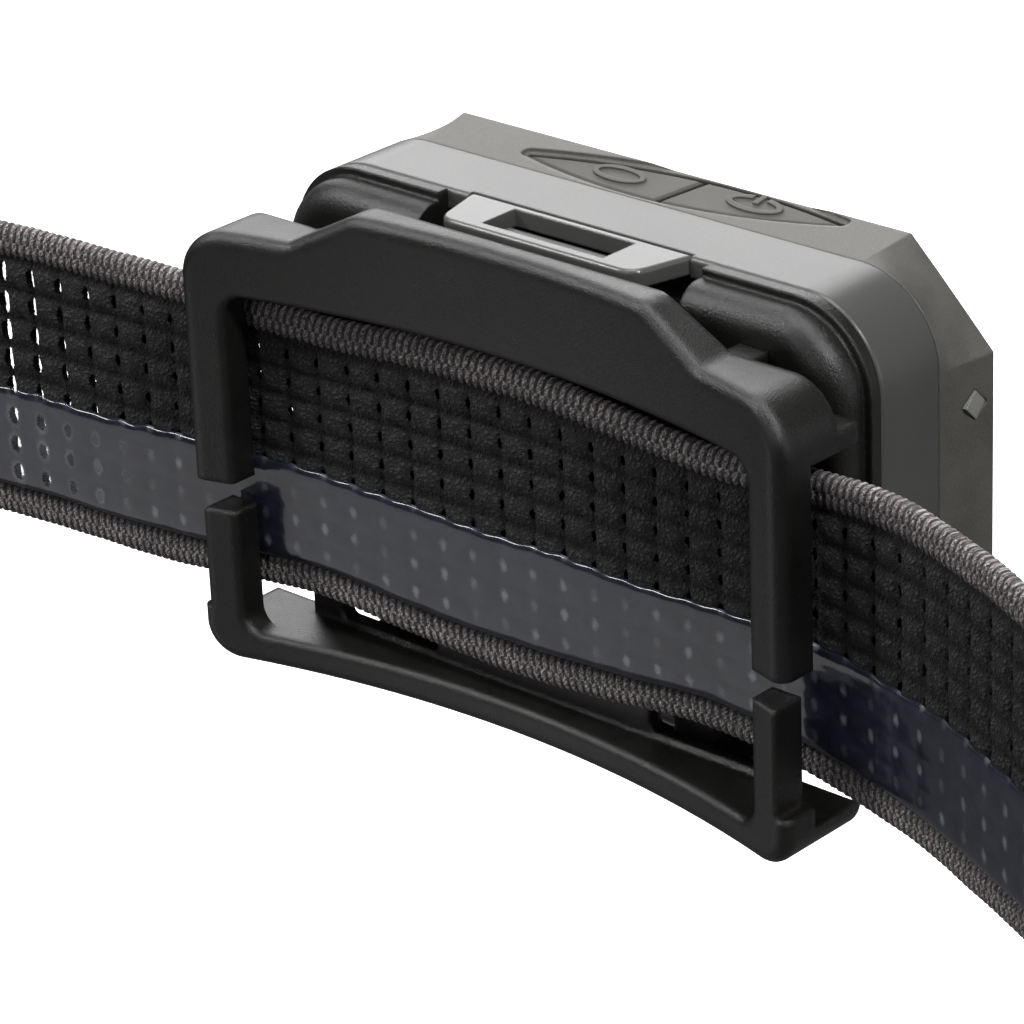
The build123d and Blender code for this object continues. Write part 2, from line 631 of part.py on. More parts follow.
seal_inset = CASE_INSET + WALL + SEAT_GAP + SEAL_THICKNESS
with BuildPart() as case_seal:
    with BuildSketch(upright(SPLIT_Y - 0.1)):
        lamp_outline(CASE_INSET + WALL + SEAT_GAP)
        with Locations((0, LAMP_MIDDLE)):
            RectangleRounded(
                2 * (LAMP_HALF_WIDTH - seal_inset), 2 * (LAMP_HALF_HEIGHT - seal_inset),
                LAMP_CORNER - seal_inset, mode=Mode.SUBTRACT,
            )
        with Locations((0, LAMP_TOP)):
            Rectangle(
                2 * (FINGER_RECESS_HALF_WIDTH + WALL) + 0.4, 2 * (LAMP_TOP - recess_floor + WALL) + 0.4,
                mode=Mode.SUBTRACT,
            )
    extrude(amount=1.2)
save(case_seal, "case_seal")


# ======================= front body =======================
def section(y, half_width, top, bottom, cut, bulge):
    """Eight-sided section of the front housing at depth y; its corner sides are arcs that stand out by bulge."""
    side = half_width - cut
    points = [
        (-side, top), (side, top),
        (half_width, top - cut), (half_width, bottom + cut),
        (side, bottom), (-side, bottom),
        (-half_width, bottom + cut), (-half_width, top - cut),
    ]
    with BuildSketch() as outline:
        with BuildLine():
            for start in range(8):
                first = points[start]
                second = points[(start + 1) % 8]
                if start % 2:
                    middle = ((first[0] + second[0]) / 2, (first[1] + second[1]) / 2)
                    out = bulge / math.sqrt(2)
                    over = math.copysign(out, middle[1] - (top + bottom) / 2)
                    ThreePointArc(first, (middle[0] + math.copysign(out, middle[0]), middle[1] + over), second)
                else:
                    Line(first, second)
        make_face()
    return upright(y) * outline.sketch


def housing_sections(inset):
    """Faces of the front housing's three sections, from the frame to the nose, pulled in by inset."""
    round_corner = LAMP_CORNER - inset * 0.5
    flared = LAMP_HALF_WIDTH + FLARE - inset
    top = LAMP_TOP + FLARE * 0.7 - inset
    bottom = LAMP_BOTTOM - FLARE * 0.7 + inset
    return [
        section(
            FRAME_FRONT_Y + SEAT_GAP, LAMP_HALF_WIDTH - inset, LAMP_TOP - inset, LAMP_BOTTOM + inset,
            round_corner, round_corner * (1 - math.sqrt(0.5)),
        ),
        section(FLARE_Y, flared, top, bottom, FLARE_CORNER - inset * 0.4, 0.06),
        section(
            NOSE_Y - inset, flared - NOSE_INSET, top - NOSE_INSET, bottom + NOSE_INSET,
            NOSE_CORNER - inset * 0.4, 0.06,
        ),
    ]


TOP_SLOPE = math.degrees(math.atan2(FLARE * 0.7, FLARE_Y - FRAME_FRONT_Y - SEAT_GAP))
TOP_PLANE = Plane(
    origin=(0, FRAME_FRONT_Y + SEAT_GAP, LAMP_TOP),
    x_dir=(1, 0, 0),
    z_dir=(0, -math.sin(math.radians(TOP_SLOPE)), math.cos(math.radians(TOP_SLOPE))),
)
BACK_SHIFT = (0, -FRAME_FRONT_Y - SEAT_GAP)


def leaf(grow):
    """Leaf shape of the button field in the housing's top plane, grown by grow."""
    with BuildSketch() as outline:
        with BuildLine():
            ThreePointArc(BUTTON_LEFT_TIP, BUTTON_REAR_MID, BUTTON_RIGHT_TIP)
            ThreePointArc(BUTTON_RIGHT_TIP, BUTTON_FRONT_MID, BUTTON_LEFT_TIP)
        make_face()
    face = Pos(*BACK_SHIFT) * outline.sketch
    with BuildSketch() as grown:
        add(face)
        if grow:
            offset(amount=grow)
    return grown.sketch


with BuildPart() as front_housing:
    sections = housing_sections(0)
    for start in range(2):
        loft([sections[start].faces()[0], sections[start + 1].faces()[0]], ruled=True)
    hollow = housing_sections(WALL)
    for start in range(2):
        loft(
            [hollow[start].faces()[0], hollow[start + 1].faces()[0]], ruled=True, mode=Mode.SUBTRACT
        )
    with BuildSketch(upright(NOSE_Y + 1)):
        with Locations((0, LIGHT_Z)):
            RectangleRounded(
                2 * (LENS_HALF_WIDTH + GASKET), 2 * (LENS_HALF_HEIGHT + GASKET), LENS_CORNER + GASKET
            )
    extrude(amount=WALL + 2, mode=Mode.SUBTRACT)
    for screw_x in (-SCREW_X, SCREW_X):
        for screw_z in (SCREW_LOW_Z, SCREW_HIGH_Z):
            with BuildSketch(upright(BULKHEAD_Y + BULKHEAD_THICKNESS + SEAT_GAP)):
                with Locations((screw_x, screw_z)):
                    Circle(BOSS_RADIUS)
            extrude(amount=-(FLARE_Y - BULKHEAD_Y))
            with BuildSketch(upright(BULKHEAD_Y)):
                with Locations((screw_x, screw_z)):
                    Circle(SCREW_RADIUS)
            extrude(amount=-(BULKHEAD_THICKNESS + SCREW_LENGTH), mode=Mode.SUBTRACT)
    with BuildSketch(TOP_PLANE.offset(2)):
        add(leaf(BUTTON_GAP))
    extrude(amount=-(WALL + 4), mode=Mode.SUBTRACT)
    with BuildSketch(TOP_PLANE.offset(0.02)):
        add(leaf(BUTTON_GAP + BUTTON_RIM))
    extrude(amount=-BUTTON_RECESS, mode=Mode.SUBTRACT)
    with BuildSketch(lying(INLAY_X)):
        with Locations((INLAY_Y, INLAY_Z)):
            RegularPolygon(INLAY_RADIUS + SEAT_GAP, 4)
    extrude(amount=6, mode=Mode.SUBTRACT)
save(front_housing, "front_housing")

with BuildPart() as side_inlay:
    with BuildSketch(lying(INLAY_X + SEAT_GAP)):
        with Locations((INLAY_Y, INLAY_Z)):
            RegularPolygon(INLAY_RADIUS, 4)
    extrude(amount=INLAY_THICKNESS)
save(side_inlay, "side_inlay")

with BuildPart() as light_frame:
    with BuildSketch(upright(FRAME_FRONT_Y)):
        lamp_outline(0)
    extrude(amount=FRAME_FRONT_Y - SPLIT_Y - SEAT_GAP)
    fillet(light_frame.faces().sort_by(Axis.Y)[0].edges(), 0.5)
    with BuildSketch(upright(FRAME_FRONT_Y + 1)):
        lamp_outline(WALL)
    extrude(amount=FRAME_FRONT_Y - SPLIT_Y + 2, mode=Mode.SUBTRACT)
    with BuildSketch(Plane.XY.offset(LAMP_TOP - 2 * WALL)):
        with Locations((0, TAB_FRONT_Y + TAB_GAP)):
            Rectangle(2 * (TAB_ROOT_HALF_WIDTH + TAB_GAP), 10, align=(Align.CENTER, Align.MAX))
    extrude(amount=4 * WALL, mode=Mode.SUBTRACT)
    barrel = DOOR_X - KNUCKLE_GAP - DOOR_KNUCKLE_WIDTH
    for start in (barrel, -barrel - DOOR_KNUCKLE_WIDTH):
        with BuildSketch(lying(start)):
            with Locations((DOOR_Y, DOOR_Z)):
                Circle(DOOR_KNUCKLE_RADIUS)
            with BuildLine():
                Polyline(
                    (DOOR_Y, DOOR_Z),
                    (SPLIT_Y + 0.3, LAMP_BOTTOM + 0.6),
                    (SPLIT_Y + 4.0, LAMP_BOTTOM + 0.6),
                    (DOOR_Y + 0.9, DOOR_Z - 1.1),
                    close=True,
                )
            make_face()
        extrude(amount=DOOR_KNUCKLE_WIDTH)
        with BuildSketch(lying(start - 0.1)):
            with Locations((DOOR_Y, DOOR_Z)):
                Circle(DOOR_PIN_RADIUS + RUNNING_CLEARANCE)
        extrude(amount=DOOR_KNUCKLE_WIDTH + 0.2, mode=Mode.SUBTRACT)
save(light_frame, "light_frame")

with BuildPart() as bulkhead:
    with BuildSketch(upright(BULKHEAD_Y)):
        lamp_outline(WALL + SEAT_GAP)
    extrude(amount=-(FRAME_FRONT_Y - BULKHEAD_Y))
    with BuildSketch(upright(FRAME_FRONT_Y)):
        lamp_outline(WALL + 0.6)
    extrude(amount=-(BULKHEAD_Y + BULKHEAD_THICKNESS - FRAME_FRONT_Y))
    for screw_x in (-SCREW_X, SCREW_X):
        for screw_z in (SCREW_LOW_Z, SCREW_HIGH_Z):
            with BuildSketch(upright(BULKHEAD_Y - 1)):
                with Locations((screw_x, screw_z)):
                    Circle(SCREW_RADIUS + SEAT_GAP)
            extrude(amount=-(BULKHEAD_THICKNESS + 2), mode=Mode.SUBTRACT)
            with BuildSketch(upright(BULKHEAD_Y - 1)):
                with Locations((screw_x, screw_z)):
                    Circle(SCREW_HEAD_RADIUS + SEAT_GAP)
            extrude(amount=-2.0, mode=Mode.SUBTRACT)
save(bulkhead, "bulkhead")

with BuildPart() as housing_screws:
    for screw_x in (-SCREW_X, SCREW_X):
        for screw_z in (SCREW_LOW_Z, SCREW_HIGH_Z):
            with BuildSketch(upright(BULKHEAD_Y)):
                with Locations((screw_x, screw_z)):
                    Circle(SCREW_HEAD_RADIUS)
                    Rectangle(2.4, 0.5, mode=Mode.SUBTRACT)
                    Rectangle(0.5, 2.4, mode=Mode.SUBTRACT)
            extrude(amount=-0.5)
            with BuildSketch(upright(BULKHEAD_Y + 0.5)):
                with Locations((screw_x, screw_z)):
                    Circle(SCREW_HEAD_RADIUS)
            extrude(amount=-0.5)
            with BuildSketch(upright(BULKHEAD_Y + 1)):
                with Locations((screw_x, screw_z)):
                    Circle(SCREW_RADIUS - SEAT_GAP)
            extrude(amount=-SCREW_LENGTH + 0.5)
save(housing_screws, "housing_screws")

with BuildPart() as battery_contacts:
    for contact_x in (-CONTACT_PITCH / 2, CONTACT_PITCH / 2):
        with BuildSketch(upright(BATTERY_FRONT_Y + SEAT_GAP)):
            with Locations((contact_x, CONTACT_Z)):
                Circle(CONTACT_RADIUS)
        extrude(amount=-(BULKHEAD_Y - BATTERY_FRONT_Y - SEAT_GAP))
save(battery_contacts, "battery_contacts")

with BuildPart() as control_board:
    with BuildSketch(upright(BOARD_Y)):
        with Locations((0, LIGHT_Z)):
            RectangleRounded(2 * BOARD_HALF_WIDTH, 2 * BOARD_HALF_HEIGHT, 1.0)
    extrude(amount=-BOARD_THICKNESS)
    for chip_x, chip_z, size in ((-10, 8, 5.0), (8, -3, 4.0), (15, 6, 2.5)):
        with Locations((chip_x, BOARD_Y, LIGHT_Z + chip_z)):
            Box(size, 2 * CHIP_THICKNESS, size * 0.8)
save(control_board, "control_board")

with BuildPart() as light_board:
    with BuildSketch(upright(LIGHT_BOARD_Y)):
        with Locations((0, LIGHT_Z)):
            RectangleRounded(2 * BOARD_HALF_WIDTH, 2 * BOARD_HALF_HEIGHT - 4, 1.0)
    extrude(amount=-BOARD_THICKNESS)
save(light_board, "light_board")

LED_Y = LIGHT_BOARD_Y + BOARD_THICKNESS
for name, led_x, size in (
    ("main_led", 0, 3.5), ("flood_led", SIDE_LIGHT_X, 2.8), ("red_led", -SIDE_LIGHT_X, 2.0),
):
    with BuildPart() as led:
        with Locations((led_x, LED_Y, LIGHT_Z)):
            Box(size, 0.6, size, align=(Align.CENTER, Align.MIN, Align.CENTER))
        with BuildSketch(upright(LED_Y + 0.6)):
            with Locations((led_x, LIGHT_Z)):
                Circle(size * 0.36)
        extrude(amount=-0.35, taper=20)
    save(led, name)

with BuildPart() as reflector:
    with BuildSketch(Plane.XY) as bowl:
        reflector_front = BEZEL_Y - SEAT_GAP
        reflector_rear = LED_Y + SEAT_GAP
        reflector_mid = (0.58 * REFLECTOR_RADIUS, reflector_rear + 1.9)
        with BuildLine():
            inner = Spline(
                (REFLECTOR_BACK_RADIUS, reflector_rear), reflector_mid, (REFLECTOR_RADIUS, reflector_front)
            )
            outer = Spline(
                (REFLECTOR_BACK_RADIUS + 1.2, reflector_rear),
                (reflector_mid[0] + 1.1, reflector_mid[1]),
                (REFLECTOR_RADIUS + 0.9, reflector_front),
            )
            Line(inner @ 0, outer @ 0)
            Line(inner @ 1, outer @ 1)
        make_face()
    revolve(axis=Axis.Y)
reflector.part = Pos(0, 0, LIGHT_Z) * reflector.part
save(reflector, "reflector")

for name, lens_x, front_radius in (
    ("flood_lens", SIDE_LIGHT_X, FLOOD_RADIUS), ("red_lens", -SIDE_LIGHT_X, RED_RADIUS),
):
    with BuildPart() as side_lens:
        lens_depth = BEZEL_Y + BEZEL_THICKNESS / 2 - LED_Y - SIDE_LENS_GAP
        with BuildSketch(upright(BEZEL_Y + BEZEL_THICKNESS / 2)):
            with Locations((lens_x, LIGHT_Z)):
                Circle(front_radius)
        extrude(amount=lens_depth, taper=SIDE_LENS_TAPER)
        with BuildSketch(upright(BEZEL_Y - SEAT_GAP)):
            with Locations((lens_x, LIGHT_Z)):
                Circle(front_radius + 0.8)
        extrude(amount=0.8)
    save(side_lens, name)

with BuildPart() as bezel:
    with BuildSketch(upright(BEZEL_Y)):
        with Locations((0, LIGHT_Z)):
            RectangleRounded(
                2 * (LENS_HALF_WIDTH + GASKET - SEAT_GAP), 2 * (LENS_HALF_HEIGHT + GASKET - SEAT_GAP),
                LENS_CORNER + GASKET,
            )
            Circle(REFLECTOR_RADIUS - 0.3, mode=Mode.SUBTRACT)
        for lens_x, radius in ((SIDE_LIGHT_X, FLOOD_RADIUS), (-SIDE_LIGHT_X, RED_RADIUS)):
            with Locations((lens_x, LIGHT_Z)):
                Circle(radius + SEAT_GAP, mode=Mode.SUBTRACT)
    extrude(amount=-(BEZEL_THICKNESS - SEAT_GAP))
save(bezel, "bezel")

with BuildPart() as cover_lens:
    with BuildSketch(upright(LENS_Y)):
        with Locations((0, LIGHT_Z)):
            RectangleRounded(2 * LENS_HALF_WIDTH, 2 * LENS_HALF_HEIGHT, LENS_CORNER)
    extrude(amount=-LENS_THICKNESS)
    fillet(cover_lens.faces().sort_by(Axis.Y)[-1].edges(), 0.6)
save(cover_lens, "cover_lens")

with BuildPart() as lens_gasket:
    with BuildSketch(upright(LENS_Y)):
        with Locations((0, LIGHT_Z)):
            RectangleRounded(
                2 * (LENS_HALF_WIDTH + GASKET - SEAT_GAP), 2 * (LENS_HALF_HEIGHT + GASKET - SEAT_GAP),
                LENS_CORNER + GASKET - SEAT_GAP,
            )
            RectangleRounded(
                2 * (LENS_HALF_WIDTH + SEAT_GAP), 2 * (LENS_HALF_HEIGHT + SEAT_GAP),
                LENS_CORNER + SEAT_GAP, mode=Mode.SUBTRACT,
            )
    extrude(amount=-(LENS_THICKNESS - 0.4))
save(lens_gasket, "lens_gasket")


# ======================= buttons =======================
def middle_of_leaf(x):
    """Depth of the leaf's middle line at x, in the housing's top plane."""
    run = BUTTON_RIGHT_TIP[0] - BUTTON_LEFT_TIP[0]
    rise = BUTTON_RIGHT_TIP[1] - BUTTON_LEFT_TIP[1]
    return BUTTON_LEFT_TIP[1] + rise * (x - BUTTON_LEFT_TIP[0]) / run - FRAME_FRONT_Y


def icon_main():
    """Open ring with a stroke through its gap, raised on the main button."""
    with BuildSketch() as icon:
        with Locations((MAIN_BUTTON_X, middle_of_leaf(MAIN_BUTTON_X))):
            Ellipse(3.0, 1.3)
            Ellipse(2.35, 0.75, mode=Mode.SUBTRACT)
            Rectangle(1.6, 1.5, align=(Align.CENTER, Align.MIN), mode=Mode.SUBTRACT)
            with Locations((0, 0.8)):
                Rectangle(0.55, 1.5)
    return icon.sketch


def icon_mode():
    """Raised oval on the mode button."""
    with BuildSketch() as icon:
        with Locations((MODE_BUTTON_X, middle_of_leaf(MODE_BUTTON_X))):
            Ellipse(2.9, 1.25)
            Ellipse(2.3, 0.75, mode=Mode.SUBTRACT)
    return icon.sketch


BUTTON_MID_Y = (BUTTON_REAR_MID[1] + BUTTON_FRONT_MID[1]) / 2 - FRAME_FRONT_Y
cut_first = (BUTTON_CUT[0][0], BUTTON_CUT[0][1] - FRAME_FRONT_Y)
cut_second = (BUTTON_CUT[1][0], BUTTON_CUT[1][1] - FRAME_FRONT_Y)
cut_angle = math.degrees(math.atan2(cut_second[1] - cut_first[1], cut_second[0] - cut_first[0]))
for name, towards, icon in (("main_button", -1, icon_main()), ("mode_button", 1, icon_mode())):
    with BuildPart() as button:
        with BuildSketch(TOP_PLANE.offset(-BUTTON_RECESS - BUTTON_HEIGHT)):
            add(leaf(0))
            with Locations(Location((*cut_first, 0), (0, 0, cut_angle))):
                with Locations((0, towards * BUTTON_SPLIT / 2)):
                    Rectangle(
                        80, 80, align=(Align.CENTER, Align.MAX if towards < 0 else Align.MIN),
                        mode=Mode.INTERSECT,
                    )
        extrude(amount=BUTTON_HEIGHT)
        chamfer(button.faces().sort_by(Axis.Z)[-1].edges(), 0.2)
        with BuildSketch(TOP_PLANE.offset(-BUTTON_RECESS - 0.2)):
            add(icon)
        extrude(amount=0.2 + ICON_HEIGHT)
    save(button, name)

SWITCH_TOP = LAMP_TOP - BUTTON_RECESS - BUTTON_HEIGHT - SWITCH_GAP
SWITCH_Y = BUTTON_MID_Y + FRAME_FRONT_Y
with BuildPart() as button_board:
    with Locations((0, SWITCH_Y, SWITCH_TOP - SWITCH_HEIGHT - SEAT_GAP)):
        Box(
            BUTTON_BOARD_LENGTH, BUTTON_BOARD_WIDTH, BOARD_THICKNESS,
            align=(Align.CENTER, Align.CENTER, Align.MAX),
        )
    with Locations((0, BOARD_Y + BOARD_THICKNESS + SEAT_GAP, SWITCH_TOP - SWITCH_HEIGHT - SEAT_GAP)):
        Box(6, 0.3, 4.5, align=(Align.CENTER, Align.MIN, Align.MAX))
save(button_board, "button_board")

with BuildPart() as tactile_switches:
    for switch_x in (MODE_BUTTON_X, MAIN_BUTTON_X):
        with Locations((switch_x, SWITCH_Y, SWITCH_TOP - SWITCH_HEIGHT)):
            Box(3.6, 3.0, SWITCH_HEIGHT - 0.5, align=(Align.CENTER, Align.CENTER, Align.MIN))
            Cylinder(0.9, SWITCH_HEIGHT, align=(Align.CENTER, Align.CENTER, Align.MIN))
save(tactile_switches, "tactile_switches")


# ======================= latch =======================
with BuildPart() as latch_tab:
    with BuildSketch(Plane.XY.offset(TAB_BOTTOM)):
        with BuildLine():
            Polyline(
                (-TAB_ROOT_HALF_WIDTH, TAB_FRONT_Y),
                (-TAB_ROOT_HALF_WIDTH, SPLIT_Y),
                (-TAB_HALF_WIDTH, TAB_REAR_Y),
                (TAB_HALF_WIDTH, TAB_REAR_Y),
                (TAB_ROOT_HALF_WIDTH, SPLIT_Y),
                (TAB_ROOT_HALF_WIDTH, TAB_FRONT_Y),
                close=True,
            )
        make_face()
    extrude(amount=TAB_THICKNESS)
    rear_corners = latch_tab.edges().filter_by(Axis.Z).group_by(Axis.Y)[0]
    fillet(rear_corners, 2.0)
    fillet(latch_tab.edges().group_by(Axis.Z)[-1], 0.4)
    with BuildSketch(Plane.XY.offset(TAB_BOTTOM - 1)):
        with Locations((0, TAB_HOLE_REAR_Y)):
            Rectangle(
                2 * TAB_HOLE_HALF_WIDTH, TAB_HOLE_FRONT_Y - TAB_HOLE_REAR_Y,
                align=(Align.CENTER, Align.MIN),
            )
    extrude(amount=TAB_THICKNESS + 2, mode=Mode.SUBTRACT)
save(latch_tab, "latch_tab")
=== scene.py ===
"""Looks of a headlamp on a knitted headband, worked out around its CAD frame.

Sizes in the helpers are in millimetres in the frame's own axes: +X to the wearer's right, +Y along the
beam, +Z up. Meshes are written in metres.
"""

import math

import bpy
import numpy as np
from bpy.props import FloatProperty, FloatVectorProperty, PointerProperty
from mathutils import Matrix, Vector


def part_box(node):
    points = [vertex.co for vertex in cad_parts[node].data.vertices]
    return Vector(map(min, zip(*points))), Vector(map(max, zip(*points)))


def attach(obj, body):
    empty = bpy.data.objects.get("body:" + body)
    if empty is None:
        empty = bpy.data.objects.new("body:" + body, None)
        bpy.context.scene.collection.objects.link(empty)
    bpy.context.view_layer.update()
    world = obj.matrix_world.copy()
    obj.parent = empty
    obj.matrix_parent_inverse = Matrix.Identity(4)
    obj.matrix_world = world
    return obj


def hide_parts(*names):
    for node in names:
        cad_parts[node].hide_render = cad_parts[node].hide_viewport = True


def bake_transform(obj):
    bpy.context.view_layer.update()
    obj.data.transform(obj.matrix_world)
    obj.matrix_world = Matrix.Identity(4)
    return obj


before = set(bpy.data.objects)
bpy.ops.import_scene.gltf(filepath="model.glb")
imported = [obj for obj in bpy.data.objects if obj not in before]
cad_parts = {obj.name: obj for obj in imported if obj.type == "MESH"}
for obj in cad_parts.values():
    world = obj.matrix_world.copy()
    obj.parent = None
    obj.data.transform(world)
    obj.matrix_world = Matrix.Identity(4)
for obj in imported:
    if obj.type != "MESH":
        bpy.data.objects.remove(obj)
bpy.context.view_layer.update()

bl_info = {
    "name": "Knitted Headband Lamp",
    "version": (1, 0, 0),
    "blender": (4, 5, 0),
    "location": "3D View > Sidebar > Headlamp",
    "description": "Knit, silicone, moulded plastic and clear plastic for a headlamp's CAD frame",
    "category": "Object",
}

MM = 0.001
RING_LOW, RING_HIGH = (np.array(corner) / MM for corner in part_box("strap_ring"))
RETURN_LOW, RETURN_HIGH = (np.array(corner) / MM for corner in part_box("strap_return"))
LOOP_LOW, LOOP_HIGH = (np.array(corner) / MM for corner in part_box("strap_end_loop"))

# corners of the band's middle line in plan and the radius of each turn, anticlockwise from the ring
BAND_CORNERS = (
    ((70, -150), 50), ((106, -105), 50), ((106, -50), 60), ((76, -10.6), 60), ((40, 6.3), 45),
    ((-8, 6.3), 150), ((-78, 1.9), 30), ((-106, -45), 50), ((-106, -105), 50), ((-70, -150), 50),
)
BAND_THICKNESS = 1.8
RING_BAR = 3.0
RING_BAR_GAP = 0.1
ROUTE_STEP = 0.25
# how far the knitted middle is tucked under each ribbed edge
EDGE_TUCK = 0.35
# how much further along and how much lower the net of eyelets lies on the outer face than on the inner one
EYELET_SLANT = (0.62, 0.45)

# the silicone strip: heights of its two edges, its round ends, and how far its back and its skin lie from the
# band's middle line, with the swell of the skin's middle
GRIP_TOP, GRIP_BOTTOM = -1.35, -11.7
GRIP_END_RADIUS = 4.0
GRIP_BACK, GRIP_SKIN, GRIP_CROWN = 0.55, 0.96, 0.36
# what is added to the strip's map, so that its dots lie where the slanted eyelets would reach its skin
GRIP_MAP_SHIFT = (0.45, -0.33)

# the loop round the slider: half the thickness of a ply, the length of its mouth's slope and of its opening
LOOP_PLY = 0.45
LOOP_MOUTH = 0.8
LOOP_OPENING = 4.1

# a sewn row: its thread, the gap between stitches, its reach from the band's middle and its depth from the ply
STITCH_THICKNESS = 0.42
STITCH_GAP = 0.35
STITCH_REACH = 12.8
STITCH_DEPTH = 1.02

# the floor is a square sheet that lies flat up to one distance and has risen fully at the other
FLOOR_POINTS = 41
FLOOR_REACH = 4.0
FLOOR_FLAT, FLOOR_RISEN, FLOOR_RISE = 2.2, 4.4, 0.9


# ---------------------------------------------------------------- settings
class HeadlampBand(bpy.types.PropertyGroup):
    """Sizes of the knitted band and of what is on it."""

    width: FloatProperty(
        name="Band Width", description="Height of the unsqueezed band, edges included",
        default=30.0 * MM, unit="LENGTH", precision=4,
    )
    pillow_length: FloatProperty(
        name="Pillow Length", description="Distance between two columns of eyelets along the band",
        default=3.5 * MM, unit="LENGTH", precision=5,
    )
    pillow_height: FloatProperty(
        name="Pillow Height", description="Distance between two rows of eyelets across the band",
        default=2.9 * MM, unit="LENGTH", precision=5,
    )
    pillow_relief: FloatProperty(
        name="Pillow Relief", description="How far the middle of a pillow stands above its rim",
        default=0.62 * MM, unit="LENGTH", precision=5,
    )
    edge_height: FloatProperty(
        name="Edge Height", description="Height of each ribbed edge of the band",
        default=3.3 * MM, unit="LENGTH", precision=5,
    )
    rib_pitch: FloatProperty(
        name="Rib Pitch", description="Distance between two ribs of an edge",
        default=0.85 * MM, unit="LENGTH", precision=5,
    )
    rib_relief: FloatProperty(
        name="Rib Relief", description="How far a rib stands above the groove beside it",
        default=0.26 * MM, unit="LENGTH", precision=5,
    )
    squeeze: FloatProperty(
        name="Squeeze", description="How far the band's edges are pulled in where it passes the bracket",
        default=2.0 * MM, unit="LENGTH", precision=4,
    )
    grip_reach: FloatProperty(
        name="Grip Reach", description="How far to each side the silicone strip runs, measured in X",
        default=84.0 * MM, unit="LENGTH", precision=4,
    )
    stitch_length: FloatProperty(
        name="Stitch Length", description="Length of one stitch of the sewn ends",
        default=2.1 * MM, unit="LENGTH", precision=5,
    )


class HeadlampFinish(bpy.types.PropertyGroup):
    """Colours of the finishes, in linear light."""

    knit_colour: FloatVectorProperty(
        name="Knit", description="Black yarn of the band's middle",
        default=(0.050, 0.0495, 0.0505), subtype="COLOR", size=3, min=0, max=1,
    )
    edge_colour: FloatVectorProperty(
        name="Edge Yarn", description="Light yarn of the band's ribbed edges",
        default=(0.330, 0.298, 0.300), subtype="COLOR", size=3, min=0, max=1,
    )
    silicone_colour: FloatVectorProperty(
        name="Silicone", description="Grip strip", default=(0.0135, 0.0148, 0.0240), subtype="COLOR", size=3,
        min=0, max=1,
    )
    bracket_colour: FloatVectorProperty(
        name="Bracket", description="Bracket and buckles", default=(0.0075, 0.0073, 0.0068),
        subtype="COLOR", size=3, min=0, max=1,
    )
    case_colour: FloatVectorProperty(
        name="Battery Case", description="Rear case", default=(0.0075, 0.0073, 0.0068), subtype="COLOR",
        size=3, min=0, max=1,
    )
    housing_colour: FloatVectorProperty(
        name="Front Housing", description="Front housing and buttons", default=(0.076, 0.0725, 0.066),
        subtype="COLOR", size=3, min=0, max=1,
    )
    smoke_colour: FloatVectorProperty(
        name="Smoky Plastic", description="Clear frame and latch tab", default=(0.125, 0.125, 0.122),
        subtype="COLOR", size=3, min=0, max=1,
    )


class HeadlampStage(bpy.types.PropertyGroup):
    """Camera, floor and lights."""

    azimuth: FloatProperty(
        name="Azimuth", description="Camera's angle round the lamp", default=math.radians(43.18),
        subtype="ANGLE",
    )
    elevation: FloatProperty(
        name="Elevation", description="Camera's angle above the horizon", default=math.radians(24.5),
        subtype="ANGLE",
    )
    roll: FloatProperty(
        name="Roll", description="Camera's turn about its own line of sight", default=math.radians(-2.43),
        subtype="ANGLE",
    )
    distance: FloatProperty(
        name="Distance", description="From the camera to the lamp", default=0.3938, unit="LENGTH",
    )
    aim_right: FloatProperty(
        name="Aim Right", description="How far right of the origin the camera points",
        default=2.97 * MM, unit="LENGTH", precision=5,
    )
    aim_up: FloatProperty(
        name="Aim Up", description="How far above the origin the camera points",
        default=3.10 * MM, unit="LENGTH", precision=5,
    )
    lens: FloatProperty(
        name="Lens", description="Focal length in millimetres on a 36 mm sensor", default=161.9,
    )
    floor_drop: FloatProperty(
        name="Floor Drop", description="How far the floor lies below the origin", default=0.075,
        unit="LENGTH",
    )
    backdrop_light: FloatProperty(
        name="Backdrop Light", description="Strength of the even light from all round", default=0.14,
    )
    lamp_light: FloatProperty(
        name="Lamp Light", description="Strength of the soft lamps", default=1.0,
    )


# ---------------------------------------------------------------- numbers
def unit(vector):
    """vector divided by its length."""
    return vector / np.linalg.norm(vector)


def soft_step(low, high, value):
    """0 below low and 1 above high, along 3t^2 - 2t^3 in between."""
    t = np.clip((value - low) / (high - low), 0, 1)
    return t * t * (3 - 2 * t)


def hill(value, middle, spread):
    """A bell of height 1 about middle: e to the power of minus the squared distance in spreads."""
    return np.exp(-(((value - middle) / spread) ** 2))


def ripple(u, v, seed, size):
    """Smooth noise from -1 to 1: the mean of five plane waves of wavelengths near size, whose directions and
    phases are drawn from the seed."""
    dice = np.random.default_rng(seed)
    angles = dice.uniform(0, 2 * math.pi, 5)
    phases = dice.uniform(0, 2 * math.pi, 5)
    sizes = size * dice.uniform(0.7, 1.5, 5)
    total = 0
    for angle, phase, wave in zip(angles, phases, sizes):
        total = total + np.sin(2 * math.pi * (u * math.cos(angle) + v * math.sin(angle)) / wave + phase)
    return total / 5


